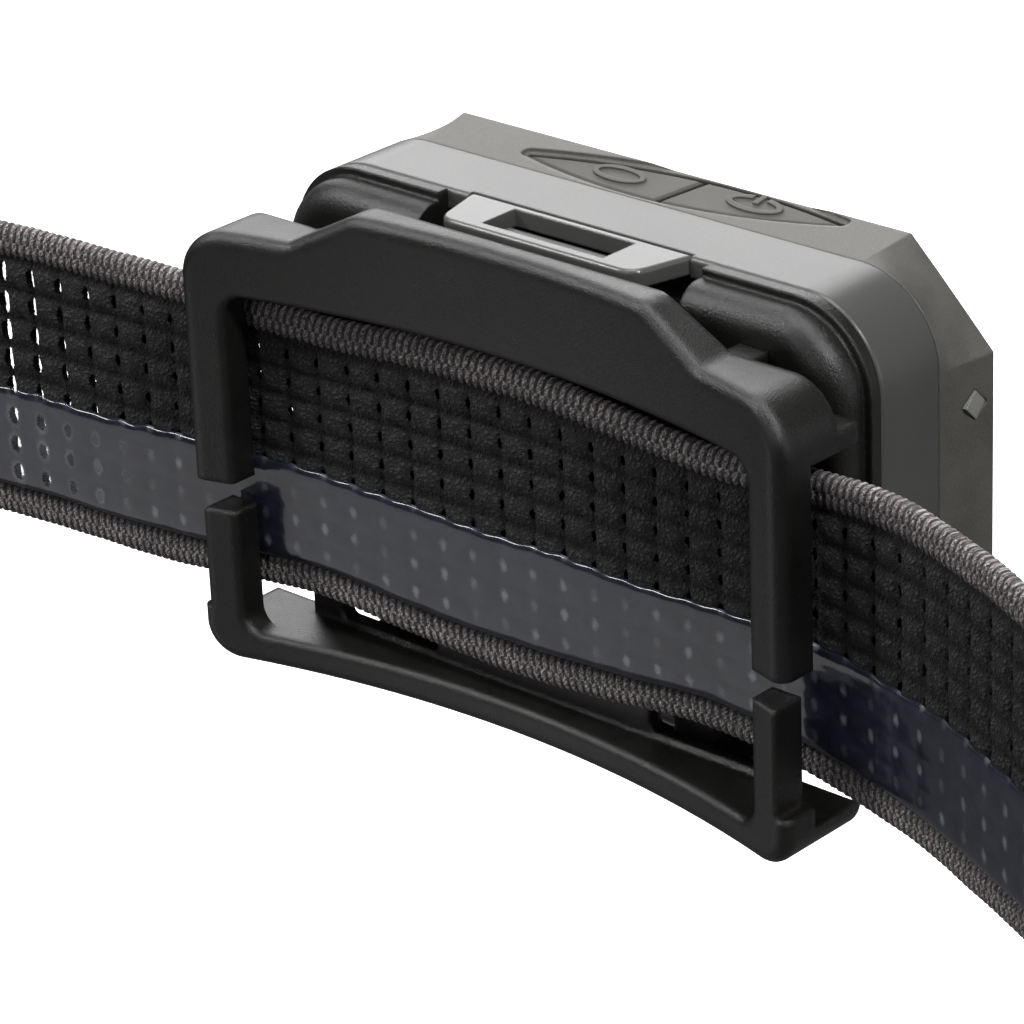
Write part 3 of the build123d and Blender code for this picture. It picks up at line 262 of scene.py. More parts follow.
# ---------------------------------------------------------------- the band's route
def rounded_route(points, radii):
    """A line through the points in plan whose inner corners are arcs of the given radii. An arc starts
    R tan(half the turn) before its corner, and its points are the two end radii mixed by sines."""
    points = np.array(points, float)
    parts = [points[:1]]
    for before, corner, after, radius in zip(points[:-2], points[1:-1], points[2:], radii):
        back, ahead = unit(before - corner), unit(after - corner)
        turn = math.pi - math.acos(np.clip(back @ ahead, -1, 1))
        reach = radius * math.tan(turn / 2)
        centre = corner + unit(back + ahead) * radius / math.cos(turn / 2)
        first, last = corner + back * reach - centre, corner + ahead * reach - centre
        share = np.linspace(0, 1, max(int(radius * turn / ROUTE_STEP), 6))[:, None]
        mixed = np.sin((1 - share) * turn) * first + np.sin(share * turn) * last
        parts.append(centre + mixed / math.sin(turn))
    parts.append(points[-1:])
    line = np.concatenate(parts)
    steps = np.linalg.norm(np.diff(line, axis=0), axis=1)
    keep = np.concatenate([[True], steps > 1e-6])
    line = line[keep]
    along = np.concatenate([[0], np.cumsum(np.linalg.norm(np.diff(line, axis=0), axis=1))])
    return along, line


def stations(along, line, where):
    """Places and outward normals of the route at the lengths in where. The normal is the direction of
    travel turned a quarter turn clockwise, so it points away from the head on an anticlockwise route."""
    place = np.stack([np.interp(where, along, line[:, k]) for k in (0, 1)], 1)
    ahead = np.stack([np.interp(where + 0.3, along, line[:, k]) for k in (0, 1)], 1)
    behind = np.stack([np.interp(where - 0.3, along, line[:, k]) for k in (0, 1)], 1)
    travel = ahead - behind
    travel /= np.linalg.norm(travel, axis=1)[:, None]
    return place, np.stack([travel[:, 1], -travel[:, 0]], 1)


def band_route():
    """The band's whole middle line, from its fold-back on the ring's right bar round the head to its hem."""
    turn = (LOOP_LOW[1] + LOOP_HIGH[1]) / 2
    ring_x = (RING_LOW[0] + RING_HIGH[0]) / 2
    half = (RING_HIGH[0] - RING_LOW[0] - RING_BAR) / 2
    bend = RING_BAR / 2 + RING_BAR_GAP + BAND_THICKNESS / 2
    right, left = ring_x + half, ring_x - half
    front = BAND_CORNERS[0][0][1]
    pitch = (front - turn) / 2
    start = [(right + 5.0, turn), (right - bend, turn), (right - bend, front)]
    end = [(left + bend, front), (left + bend, turn), (left - 14.0, turn)]
    points = start + [corner for corner, _ in BAND_CORNERS] + end
    radii = [pitch, pitch] + [radius for _, radius in BAND_CORNERS] + [pitch, pitch]
    along, line = rounded_route(points, radii)
    # the long corners are eased into one another, as a band that hangs freely has no kinks
    even = np.arange(0, along[-1], ROUTE_STEP)
    line = np.stack([np.interp(even, along, line[:, k]) for k in (0, 1)], 1)
    window = np.hanning(121)
    window /= window.sum()
    eased = np.stack([np.convolve(np.pad(line[:, k], 60, mode="edge"), window, "valid") for k in (0, 1)], 1)
    hold = soft_step(80, 110, even) * soft_step(80, 110, even[-1] - even)
    line = line + (eased - line) * hold[:, None]
    along = np.concatenate([[0], np.cumsum(np.linalg.norm(np.diff(line, axis=0), axis=1))])
    return along, line


def band_edges(place, half, squeeze):
    """Heights of the band's top and bottom edge along the route: plus and minus half its width, pulled in
    by bells where it passes the bracket's two sides."""
    x, front = place[:, 0], soft_step(-60, -30, place[:, 1])
    right, left = hill(x, 21.5, 14), hill(x, -25, 12)
    top = half - front * squeeze * (0.95 * right + 0.4 * left)
    bottom = -half + front * squeeze * (0.95 * right + 0.75 * left)
    return top, bottom


def laid_on_band(place, normal, top, bottom, width, v, depth):
    """Points on a band: height v of its full width, scaled to lie between its top and bottom edge, and
    depth outwards from its middle line."""
    z = (top + bottom)[:, None] / 2 + v * (top - bottom)[:, None] / width
    return np.stack([place[:, :1] + normal[:, :1] * depth, place[:, 1:] + normal[:, 1:] * depth, z], -1)


# ---------------------------------------------------------------- meshes
def grid_mesh(name, rows, maps):
    """A closed tube from rows of points: rows has a ring of points for each station. Each ring is joined to
    the next by four-sided faces and the two end rings are closed. maps has a (u, v) pair for each point."""
    count, ring = rows.shape[:2]
    index = np.arange(count * ring).reshape(count, ring)
    here, beside = index, np.roll(index, -1, axis=1)
    quads = np.stack([here[:-1], beside[:-1], beside[1:], here[1:]], -1).reshape(-1, 4)
    faces = quads.tolist() + [index[0][::-1].tolist(), index[-1].tolist()]
    mesh = bpy.data.meshes.new(name)
    mesh.from_pydata((rows.reshape(-1, 3) * MM).tolist(), [], faces)
    mesh.polygons.foreach_set("use_smooth", np.ones(len(mesh.polygons), bool))
    corners = np.zeros(len(mesh.loops), np.int32)
    mesh.loops.foreach_get("vertex_index", corners)
    layer = mesh.uv_layers.new(name="Fabric")
    layer.data.foreach_set("uv", maps.reshape(-1, 2)[corners].astype(np.float32).ravel())
    mesh.update()
    return mesh


def show(name, mesh, material):
    """Links a finished mesh to the scene as an object at the origin with its one material."""
    piece = bpy.data.objects.new(name, mesh)
    piece.data.materials.append(material)
    bpy.context.scene.collection.objects.link(piece)
    return piece


def turned_out(mesh):
    """Faces of a closed mesh made to point outwards, if the volume they enclose comes out negative."""
    mesh.calc_loop_triangles()
    spots = np.zeros(len(mesh.vertices) * 3)
    mesh.vertices.foreach_get("co", spots)
    spots = spots.reshape(-1, 3)
    corners = np.zeros(len(mesh.loop_triangles) * 3, np.int32)
    mesh.loop_triangles.foreach_get("vertices", corners)
    a, b, c = (spots[corners.reshape(-1, 3)[:, k]] for k in range(3))
    if np.einsum("ij,ij->", a, np.cross(b, c)) < 0:
        mesh.flip_normals()
    return mesh


def pillow_height(u, v, length, height):
    """Relief of the knit from 0 to 1: pillows on a square net, each falling off as the cube of the distance
    from its middle, with the deepest places at the eyelets between two pillows of a row."""
    x = np.abs((u / length) % 1 - 0.5) * 2
    y = np.abs((v / height) % 1 - 0.5) * 2
    row = 1 - 0.85 * y**3
    column = 1 - (0.85 - 0.35 * y) * x**3
    return np.clip(row * column, 0, 1)


def band_middle(name, along, line, where, settings, thickness, squeeze):
    """The knitted middle of a band as a closed slab. At station s and height v a face stands at
    plus or minus (0.18 of the thickness + relief(s, v)) from the middle line."""
    length, height = settings.pillow_length / MM, settings.pillow_height / MM
    relief = settings.pillow_relief / MM * thickness / BAND_THICKNESS
    half = settings.width / MM / 2
    reach = half - settings.edge_height / MM + EDGE_TUCK
    place, normal = stations(along, line, where)
    top, bottom = band_edges(place, half, squeeze)
    inner = np.linspace(-reach, reach, 52)
    outer = np.linspace(reach, -reach, 30)
    v = np.concatenate([inner, outer])
    side = np.concatenate([-np.ones(len(inner)), np.ones(len(outer))])
    # the eyelets run slanted through the knit
    u = where[:, None] - EYELET_SLANT[0] * (side > 0)
    fall = 1 - 0.65 * soft_step(reach - 1.2, reach, np.abs(v))
    net = v + EYELET_SLANT[1] * (side > 0)
    pillow = pillow_height(u, net, length, height)
    lumps = 0.14 * ripple(u, v + side * 9, 4, 1.5) + 0.08 * ripple(u, v + side * 9, 5, 1.05)
    depth = thickness * 0.18 + (relief * pillow + lumps * thickness / BAND_THICKNESS) * fall
    rows = laid_on_band(place, normal, top, bottom, 2 * half, v, side * depth)
    return turned_out(grid_mesh(name, rows, maps=np.stack([u, net + 0 * u], -1)))


def band_edge(name, along, line, where, settings, thickness, squeeze, side):
    """One ribbed edge of a band as a closed roll. Its section is a flattened round, and its surface is
    raised by a wave along the band: two rows of ribs, half a rib apart, with a groove between them."""
    half = settings.width / MM / 2
    tall = settings.edge_height / MM / 2
    pitch = settings.rib_pitch / MM
    relief = settings.rib_relief / MM * thickness / BAND_THICKNESS
    place, normal = stations(along, line, where)
    top, bottom = band_edges(place, half, squeeze)
    angle = np.linspace(0, 2 * math.pi, 24, endpoint=False)
    across = np.sign(np.cos(angle)) * np.abs(np.cos(angle)) ** 0.8
    deep = np.sign(np.sin(angle)) * np.abs(np.sin(angle)) ** 0.75
    v0 = side * (half - tall)
    row = np.where(across * side > 0.05, 0.0, 0.5)
    u = where[:, None]
    slant = 0.35 * across * side
    wave = 0.5 + 0.5 * np.cos(2 * math.pi * (u / pitch + row + slant))
    groove = 1 - 0.6 * hill(across * side, 0.05, 0.16)
    swell = relief * (wave**0.7 * groove - 0.5) * (0.55 + 0.45 * np.abs(deep))
    wander = 0.1 * ripple(u, 0 * u + side, 8, 7.0)
    body = thickness * 0.44 * (1 - 0.25 * soft_step(-0.2, -1.0, across * side))
    v = v0 + across * (tall + swell * 0.8) + wander
    depth = deep * (body + swell)
    rows = laid_on_band(place, normal, top, bottom, 2 * half, v, depth)
    maps = np.stack([u + 0 * v, v], -1)
    return turned_out(grid_mesh(name, rows, maps=maps))


def knitted_band(name, along, line, settings, thickness=BAND_THICKNESS, squeeze=0.0, near=None):
    """The three pieces of a length of band: its pillowed middle and its two ribbed edges. Stations are
    close together where near is true and twice as far apart elsewhere."""
    cell = settings.pillow_length / MM
    fine = np.arange(0, along[-1], cell / 8)
    if near is not None:
        place, _ = stations(along, line, fine)
        keep = near(place) | (np.arange(len(fine)) % 2 == 0)
        fine = fine[keep]
    where = np.append(fine, along[-1])
    ribs = np.append(np.arange(0, along[-1], settings.rib_pitch / MM / 4), along[-1])
    middle = band_middle(name, along, line, where, settings, thickness, squeeze)
    pieces = [show(f"{name}_middle", middle, knit_finish())]
    for part, side in (("upper_edge", 1), ("lower_edge", -1)):
        edge = band_edge(name, along, line, ribs, settings, thickness, squeeze, side)
        pieces.append(show(f"{name}_{part}", edge, edge_finish()))
    return pieces


def stitch_mesh(name, starts, ends, thickness):
    """Stitches as small closed pods: each runs from its start to its end, and the radius of its section is
    thickness/2 times the square root of one minus the fourth power of the distance from its middle, and
    0.02 mm more."""
    starts, ends = np.array(starts, float), np.array(ends, float)
    share = np.array([0.02, 0.12, 0.5, 0.88, 0.98])
    radius = thickness / 2 * np.sqrt(1 - np.abs(share * 2 - 1) ** 4) + 0.02
    angle = np.linspace(0, 2 * math.pi, 6, endpoint=False)
    along = ends - starts
    aim = along / np.linalg.norm(along, axis=1)[:, None]
    up = np.cross(aim, np.where(np.abs(aim[:, 1:2]) > 0.9, (1.0, 0, 0), (0, 1.0, 0)))
    up /= np.linalg.norm(up, axis=1)[:, None]
    out = np.cross(aim, up)
    middle = starts[:, None] + along[:, None] * share[:, None]
    spokes = up[:, None] * np.cos(angle)[:, None] + out[:, None] * np.sin(angle)[:, None]
    spots = middle[:, :, None] + spokes[:, None] * radius[:, None, None]
    rings, spoke = len(share), len(angle)
    one = np.arange(rings * spoke).reshape(rings, spoke)
    beside = np.roll(one, -1, axis=1)
    quads = np.stack([one[:-1], beside[:-1], beside[1:], one[1:]], -1).reshape(-1, 4)
    offset = np.arange(len(starts))[:, None, None] * rings * spoke
    faces = (quads + offset).reshape(-1, 4).tolist()
    faces += (one[0][::-1] + offset[:, 0]).tolist() + (one[-1] + offset[:, 0]).tolist()
    mesh = bpy.data.meshes.new(name)
    mesh.from_pydata((spots.reshape(-1, 3) * MM).tolist(), [], faces)
    mesh.polygons.foreach_set("use_smooth", np.ones(len(mesh.polygons), bool))
    return turned_out(mesh)


# ---------------------------------------------------------------- materials
class Finish:
    """A material under construction: one Principled shader and the nodes that feed it."""

    def __init__(self, name):
        self.material = bpy.data.materials.new(name)
        self.material.use_nodes = True
        self.tree = self.material.node_tree
        self.tree.nodes.clear()
        self.shader = self.tree.nodes.new("ShaderNodeBsdfPrincipled")
        output = self.tree.nodes.new("ShaderNodeOutputMaterial")
        self.tree.links.new(self.shader.outputs["BSDF"], output.inputs["Surface"])

    def put(self, socket, value):
        """Sets a socket to a value, or links it if the value is another node's output."""
        if isinstance(value, bpy.types.NodeSocket):
            self.tree.links.new(value, socket)
        elif socket.type == "RGBA" and len(value) == 3:
            socket.default_value = (*value, 1.0)
        else:
            socket.default_value = value

    def node(self, kind, settings=None, **sockets):
        """A new node with its settings and its sockets, named in lower case with underscores."""
        made = self.tree.nodes.new(kind)
        for key, value in (settings or {}).items():
            setattr(made, key, value)
        for key, value in sockets.items():
            found = [s for s in made.inputs if s.enabled and s.name.lower().replace(" ", "_") == key]
            self.put(found[0], value)
        return made

    def sum(self, operation, first, second=0.0, third=0.0):
        """One step of arithmetic."""
        made = self.tree.nodes.new("ShaderNodeMath")
        made.operation = operation
        for socket, value in zip(made.inputs, (first, second, third)):
            self.put(socket, value)
        return made.outputs[0]

    def blend(self, share, first, second):
        """A colour between first and second."""
        made = self.node("ShaderNodeMix", {"data_type": "RGBA"})
        colours = [s for s in made.inputs if s.type == "RGBA"]
        self.put(made.inputs["Factor"], share)
        self.put(colours[0], first)
        self.put(colours[1], second)
        return [s for s in made.outputs if s.type == "RGBA"][0]

    def between(self, value, low, high, at_low=0.0, at_high=1.0):
        """value carried from low..high to at_low..at_high along a smooth step."""
        made = self.node(
            "ShaderNodeMapRange", {"interpolation_type": "SMOOTHSTEP"},
            value=value, from_min=low, from_max=high, to_min=at_low, to_max=at_high,
        )
        return made.outputs[0]

    def noise(self, size, detail=3.0, roughness=0.55, at=None):
        """Noise whose lumps are about size metres (or size of the map's own units) across."""
        if at is None:
            at = self.node("ShaderNodeTexCoord").outputs["Object"]
        made = self.node(
            "ShaderNodeTexNoise", vector=at, scale=1 / size, detail=detail, roughness=roughness,
        )
        return made.outputs["Fac"]

    def fabric(self):
        """The piece's own map: its length along the band and its height across it, in millimetres."""
        made = self.node("ShaderNodeUVMap", {"uv_map": "Fabric"})
        split = self.node("ShaderNodeSeparateXYZ", vector=made.outputs[0])
        return made.outputs[0], split.outputs["X"], split.outputs["Y"]

    def eyelets(self, u, v, wide, tall, ragged):
        """The net of eyelets at u and v: how far along the band a spot is from the nearest one, how far
        across, both in cells, and how far in all, in half widths and half heights and frayed by ragged."""
        size = bpy.context.scene.headlamp_band
        cell_x = self.sum("SUBTRACT", self.sum("FRACT", self.sum("DIVIDE", u, size.pillow_length / MM)), 0.5)
        cell_y = self.sum("SUBTRACT", self.sum("FRACT", self.sum("DIVIDE", v, size.pillow_height / MM)), 0.5)
        beside = self.sum("SUBTRACT", 0.5, self.sum("ABSOLUTE", cell_x))
        across = self.sum("MULTIPLY", beside, size.pillow_length / MM / wide)
        down = self.sum("MULTIPLY", cell_y, size.pillow_height / MM / tall)
        squares = self.sum("ADD", self.sum("MULTIPLY", across, across), self.sum("MULTIPLY", down, down))
        return beside, cell_y, self.sum("ADD", self.sum("SQRT", squares), ragged)

    def pulled_open(self):
        """1 on the free band, falling to 0.46 on the bracket's left, where the pull of the slit stretches
        the eyelets open."""
        spot = self.node("ShaderNodeSeparateXYZ", vector=self.node("ShaderNodeTexCoord").outputs["Object"])
        left = self.between(spot.outputs["X"], -0.040, -0.062)
        front = self.between(spot.outputs["Y"], -0.050, -0.020)
        return self.sum("MULTIPLY_ADD", self.sum("MULTIPLY", left, front), -0.54, 1.0)

    def bump(self, height, depth, normal=None, strength=1.0):
        """A bump of the given depth in metres."""
        made = self.node("ShaderNodeBump", height=height, distance=depth, strength=strength)
        if normal is not None:
            self.put(made.inputs["Normal"], normal)
        return made.outputs["Normal"]

    def rounded(self, radius):
        """Normals that round the edges by radius metres, and how much each spot is an edge."""
        bevel = self.node("ShaderNodeBevel", {"samples": 6}, radius=radius)
        flat = self.node("ShaderNodeNewGeometry")
        same = self.node("ShaderNodeVectorMath", {"operation": "DOT_PRODUCT"})
        self.put(same.inputs[0], bevel.outputs["Normal"])
        self.put(same.inputs[1], flat.outputs["Normal"])
        edge = self.between(same.outputs["Value"], 0.995, 0.75)
        return bevel.outputs["Normal"], edge

    def set(self, **sockets):
        """Puts values on the Principled shader's sockets, named in lower case with underscores."""
        for key, value in sockets.items():
            found = [s for s in self.shader.inputs if s.name.lower().replace(" ", "_") == key]
            self.put(found[0], value)
        return self.material


MADE = {}


def once(maker):
    """Makes a finish the first time it is asked for, and gives the same one afterwards."""

    def given(*values):
        key = (maker.__name__, *values)
        if key not in MADE:
            MADE[key] = maker(*values)
        return MADE[key]

    return given


def colours():
    """The scene's colour settings."""
    return bpy.context.scene.headlamp_finish


def tinted(colour, share):
    """A colour multiplied by share, with no channel over 1."""
    return tuple(min(1.0, channel * share) for channel in colour)


@once
def knit_finish():
    """Black knit: rounded pillows of looped yarn, painted shade in the creases between them and at the rims of
    the loops, painted glints on the loops' crowns, an eyelet at each end.
    """
    f = Finish("Knit Pillows")
    base = colours().knit_colour
    at, u, v = f.fabric()
    fray = f.sum("MULTIPLY_ADD", f.noise(0.35, 2.0, 0.6, at), 1.7, -0.85)
    from_eyelet, cell_y, far = f.eyelets(u, v, 0.26, 0.50, fray)
    far = f.sum("MULTIPLY", far, f.pulled_open())
    opening = f.between(far, 0.92, 1.08)
    # painted shade: the colour darkens in the creases along the columns of eyelets and between the rows of
    # pillows
    crease_shade_x = f.between(from_eyelet, 0.0, 0.2, 0.30, 1.0)
    crease_shade_y = f.between(f.sum("ABSOLUTE", cell_y), 0.5, 0.28, 0.22, 1.0)
    loops = f.node(
        "ShaderNodeTexVoronoi", {"feature": "SMOOTH_F1"}, vector=at, scale=2.3, smoothness=0.35,
        randomness=0.9,
    )
    loop = f.between(loops.outputs["Distance"], 0.62, 0.05)
    strands = f.node("ShaderNodeTexVoronoi", {"feature": "SMOOTH_F1"}, vector=at, scale=5.5, smoothness=0.3)
    strand = f.between(strands.outputs["Distance"], 0.7, 0.1)
    fuzz = f.noise(0.10, 4.0, 0.75, at)
    glint = f.between(f.noise(0.13, 3.0, 0.8, at), 0.60, 0.74)
    tone = f.sum("MULTIPLY", f.sum("MULTIPLY", crease_shade_x, crease_shade_y), f.between(fuzz, 0.34, 0.70, 0.35, 1.5))
    # painted shade: darker at the rims of the yarn loops
    tone = f.sum("MULTIPLY", tone, f.sum("MULTIPLY_ADD", loop, 0.85, 0.25))
    # painted highlight: glints on the loops' crowns
    tone = f.sum("ADD", tone, f.sum("MULTIPLY", f.sum("MULTIPLY", glint, loop), 1.1))
    height = f.sum("ADD", loop, f.sum("MULTIPLY", strand, 0.4))
    height = f.sum("ADD", height, f.sum("MULTIPLY", fuzz, 0.5))
    colour = f.blend(f.sum("MULTIPLY", tone, 0.6), tinted(base, 0.12), tinted(base, 2.2))
    return f.set(
        base_color=colour, roughness=0.85, specular_ior_level=0.22, normal=f.bump(height, 0.00042),
        sheen_weight=0.08, sheen_roughness=0.5, sheen_tint=(0.5, 0.5, 0.55), alpha=opening,
    )


@once
def edge_finish():
    """Ribbed edge: light and dark yarns twisted together, with painted shade in the grooves between the ribs,
    and darker towards the band's middle.
    """
    f = Finish("Ribbed Edge Yarn")
    base = colours().edge_colour
    size = bpy.context.scene.headlamp_band
    at, u, v = f.fabric()
    low = size.width / MM / 2 - size.edge_height / MM
    out = f.sum("SUBTRACT", f.sum("ABSOLUTE", v), low)
    share = f.sum("DIVIDE", out, size.edge_height / MM)
    row = f.sum("MULTIPLY", f.sum("LESS_THAN", share, 0.52), 0.5)
    slant = f.sum("ADD", row, f.sum("MULTIPLY", share, 0.7))
    turn = f.sum("SUBTRACT", f.sum("ADD", f.sum("DIVIDE", u, size.rib_pitch / MM), slant), 0.35)
    rib = f.sum("MULTIPLY_ADD", f.sum("COSINE", f.sum("MULTIPLY", turn, 2 * math.pi)), 0.5, 0.5)
    stretched = f.node("ShaderNodeMapping", {"vector_type": "POINT"}, vector=at, scale=(5.0, 2.2, 1.0))
    yarn = f.noise(0.9, 4.0, 0.7, stretched.outputs[0])
    fleck = f.noise(0.14, 3.0, 0.7, at)
    long = f.noise(5.0, 2.0, 0.5, at)
    twist = f.node(
        "ShaderNodeTexWave", {"bands_direction": "DIAGONAL"}, vector=at, scale=1.15, distortion=3.5,
        detail=2.0, detail_scale=2.0,
    )
    light = f.sum("MULTIPLY", f.between(yarn, 0.40, 0.60, 0.12, 1.0), f.between(fleck, 0.36, 0.66, 0.15, 1.5))
    # painted shade: darker in the grooves between the ribs
    light = f.sum("MULTIPLY", light, f.between(rib, 0.10, 0.75, 0.12, 1.0))
    # darker towards the band's middle
    light = f.sum("MULTIPLY", light, f.between(share, -0.05, 0.5, 0.35, 1.0))
    light = f.sum("MULTIPLY", light, f.between(long, 0.3, 0.7, 0.8, 1.15))
    height = f.sum("ADD", f.sum("MULTIPLY", twist.outputs["Fac"], 0.5), f.sum("MULTIPLY", fleck, 1.2))
    colour = f.blend(light, tinted(base, 0.10), tinted(base, 2.0))
    return f.set(
        base_color=colour, roughness=0.9, specular_ior_level=0.2, normal=f.bump(height, 0.00022),
        sheen_weight=0.15, sheen_roughness=0.5, sheen_tint=(0.6, 0.57, 0.57),
    )


@once
def silicone_finish():
    """Glossy silicone printed on the knit: blue-black, with pale dots of painted light over each eyelet, as if
    light showed through, and half open there.
    """
    f = Finish("Grip Silicone")
    base = colours().silicone_colour
    at, u, v = f.fabric()
    fray = f.sum("MULTIPLY_ADD", f.noise(0.5, 2.0, 0.6, at), 1.5, -0.75)
    _, _, far = f.eyelets(u, v, 0.34, 0.48, fray)
    pull = f.pulled_open()
    open_share = f.sum("SUBTRACT", 1.0, pull)
    far = f.sum("MULTIPLY", far, pull)
    uneven = f.between(f.noise(4.5, 2.0, 0.5, at), 0.42, 0.62, 0.25, 1.0)
    # where the painted light through each eyelet lies; the same mask dips the bump
    dot = f.sum("MULTIPLY", f.between(far, 1.7, 0.3), uneven)
    cloud = f.noise(2.2, 3.0, 0.6, at)
    smear = f.noise(0.8, 3.0, 0.6, at)
    milk = f.blend(f.between(cloud, 0.35, 0.75), base, tinted(base, 1.7))
    # painted light: pale dots over the eyelets stand in for light seen through them
    colour = f.blend(f.sum("MULTIPLY", dot, 0.8), milk, (0.20, 0.21, 0.24))
    clear = f.sum("MULTIPLY_ADD", open_share, 1.3, 0.05)
    alpha = f.sum("SUBTRACT", 1.0, f.sum("MULTIPLY", f.between(far, 1.05, 0.6), clear))
    height = f.sum("ADD", f.sum("MULTIPLY", cloud, 0.7), f.sum("MULTIPLY", dot, -0.25))
    return f.set(
        base_color=colour, roughness=f.between(smear, 0.3, 0.75, 0.14, 0.22), specular_ior_level=0.5,
        ior=1.43, coat_weight=0.3, coat_roughness=0.05, normal=f.bump(height, 0.00003), alpha=alpha,
    )


@once
def thread_finish():
    """Sewing thread: fine slanted twist."""
    f = Finish("Sewing Thread")
    at = f.node("ShaderNodeTexCoord").outputs["Object"]
    twist = f.node(
        "ShaderNodeTexWave", {"bands_direction": "DIAGONAL"}, vector=at, scale=1500.0, distortion=1.0,
    )
    colour = f.blend(twist.outputs["Fac"], (0.02, 0.02, 0.021), (0.06, 0.058, 0.058))
    return f.set(base_color=colour, roughness=0.7, normal=f.bump(twist.outputs["Fac"], 0.00004))


@once
def moulded_finish(name, red, green, blue, grain, depth, shine, edge_highlight_gain, radius):
    """Moulded black or grey plastic: fine grain, faint flow clouds, and rounded edges with a painted
    highlight, lighter in colour and a little glossier."""
    f = Finish(name)
    normal, edge = f.rounded(radius)
    fine = f.noise(grain, 3.0, 0.65)
    sparkle = f.noise(grain * 0.55, 2.0, 0.8)
    cloud = f.noise(0.006, 3.0, 0.5)
    highlight_breakup = f.noise(0.0011, 4.0, 0.7)
    base = (red, green, blue)
    colour = f.blend(f.between(cloud, 0.3, 0.7), tinted(base, 0.82), tinted(base, 1.2))
    colour = f.blend(f.between(fine, 0.35, 0.75, 0.0, 0.35), colour, tinted(base, 2.0))
    # painted highlight: a lighter, warmer colour on the rounded edges, broken up by noise; the same mask
    # lowers the roughness there
    edge_highlight_mask = f.sum("MULTIPLY", edge, f.between(highlight_breakup, 0.3, 0.65, 0.35, 1.0))
    highlight_colour = tinted((red, green * 0.95, blue * 0.86), edge_highlight_gain)
    colour = f.blend(f.sum("MULTIPLY", edge_highlight_mask, f.between(sparkle, 0.42, 0.62)), colour, highlight_colour)
    rough = f.between(cloud, 0.3, 0.7, shine - 0.04, shine + 0.05)
    rough = f.sum("SUBTRACT", rough, f.sum("MULTIPLY", edge_highlight_mask, 0.12))
    height = f.sum("ADD", f.sum("MULTIPLY", fine, 0.7), f.sum("MULTIPLY", sparkle, 0.5))
    return f.set(
        base_color=colour, roughness=rough, specular_ior_level=0.5,
        normal=f.bump(height, depth, normal),
    )


@once
def smoky_finish(name, haze, clearness):
    """Smoky clear plastic: tinted, faintly hazed and with a soft ripple from the mould."""
    f = Finish(name)
    base = colours().smoke_colour
    normal, edge = f.rounded(0.0003)
    flow = f.noise(0.004, 2.0, 0.5)
    fine = f.noise(0.0003, 3.0, 0.6)
    cloud = f.noise(0.009, 2.0, 0.5)
    colour = f.blend(f.between(cloud, 0.3, 0.7), tinted(base, 0.92), tinted(base, 1.06))
    rough = f.sum("ADD", f.between(fine, 0.3, 0.7, haze, haze + 0.08), f.sum("MULTIPLY", edge, 0.08))
    return f.set(
        base_color=colour, roughness=rough, transmission_weight=clearness, ior=1.5,
        normal=f.bump(flow, 0.000006, normal),
    )


@once
def optic_finish(name, red, green, blue, rough):
    """Polished clear plastic with a trace of surface ripple."""
    f = Finish(name)
    base = (red, green, blue)
    ripple_height = f.noise(0.003, 2.0, 0.5)
    smear = f.noise(0.0015, 4.0, 0.7)
    colour = f.blend(f.between(smear, 0.3, 0.7), tinted(base, 0.97), base)
    return f.set(
        base_color=colour, roughness=f.between(smear, 0.3, 0.8, rough, rough + 0.05),
        transmission_weight=1.0, ior=1.49, normal=f.bump(ripple_height, 0.00001),
    )


@once
def metal_finish(name, red, green, blue, rough):
    """Metal with fine drawn lines and a cloudy shine."""
    f = Finish(name)
    base = (red, green, blue)
    stretched = f.node(
        "ShaderNodeMapping", vector=f.node("ShaderNodeTexCoord").outputs["Object"], scale=(0.08, 1.0, 1.0),
    )
    lines = f.noise(0.00012, 2.0, 0.6, stretched.outputs[0])
    cloud = f.noise(0.002, 3.0, 0.6)
    colour = f.blend(f.between(cloud, 0.3, 0.7), tinted(base, 0.85), base)
    return f.set(
        base_color=colour, metallic=1.0, roughness=f.between(lines, 0.3, 0.7, rough, rough + 0.15),
        normal=f.bump(lines, 0.00001),
    )


@once
def board_finish(name, red, green, blue):
    """Circuit board: solder mask over faint raised tracks on a square net."""
    f = Finish(name)
    base = (red, green, blue)
    at = f.node("ShaderNodeTexCoord").outputs["Object"]
    upright = f.node("ShaderNodeMapping", vector=at, rotation=(math.pi / 2, 0, 0)).outputs[0]
    tracks = f.node(
        "ShaderNodeTexBrick", {"offset": 0.5, "squash": 1.6, "squash_frequency": 3}, vector=upright,
        color1=(0, 0, 0), color2=(0.25, 0.25, 0.25), mortar=(1, 1, 1), scale=420.0,
    )
    speck = f.noise(0.0004, 3.0, 0.6)
    raised = f.node("ShaderNodeRGBToBW", color=tracks.outputs["Color"]).outputs[0]
    colour = f.blend(f.sum("MULTIPLY", raised, 0.7), base, tinted(base, 1.9))
    return f.set(
        base_color=colour, roughness=f.between(speck, 0.3, 0.7, 0.28, 0.42),
        normal=f.bump(raised, 0.00003),
    )


@once
def rubber_finish(name, red, green, blue, rough):
    """Matte rubber or silicone: soft grain, dusty clouds and a painted highlight on the rounded edges."""
    f = Finish(name)
    normal, edge = f.rounded(0.0002)
    base = (red, green, blue)
    grain = f.noise(0.00016, 3.0, 0.6)
    dust = f.noise(0.003, 4.0, 0.65)
    colour = f.blend(f.between(dust, 0.35, 0.75), base, tinted(base, 1.35))
    # painted highlight: the rounded edges are lightened
    colour = f.blend(f.sum("MULTIPLY", edge, 0.5), colour, tinted(base, 2.0))
    return f.set(
        base_color=colour, roughness=f.between(dust, 0.3, 0.7, rough, rough + 0.1),
        specular_ior_level=0.35, normal=f.bump(grain, 0.00003, normal),
    )


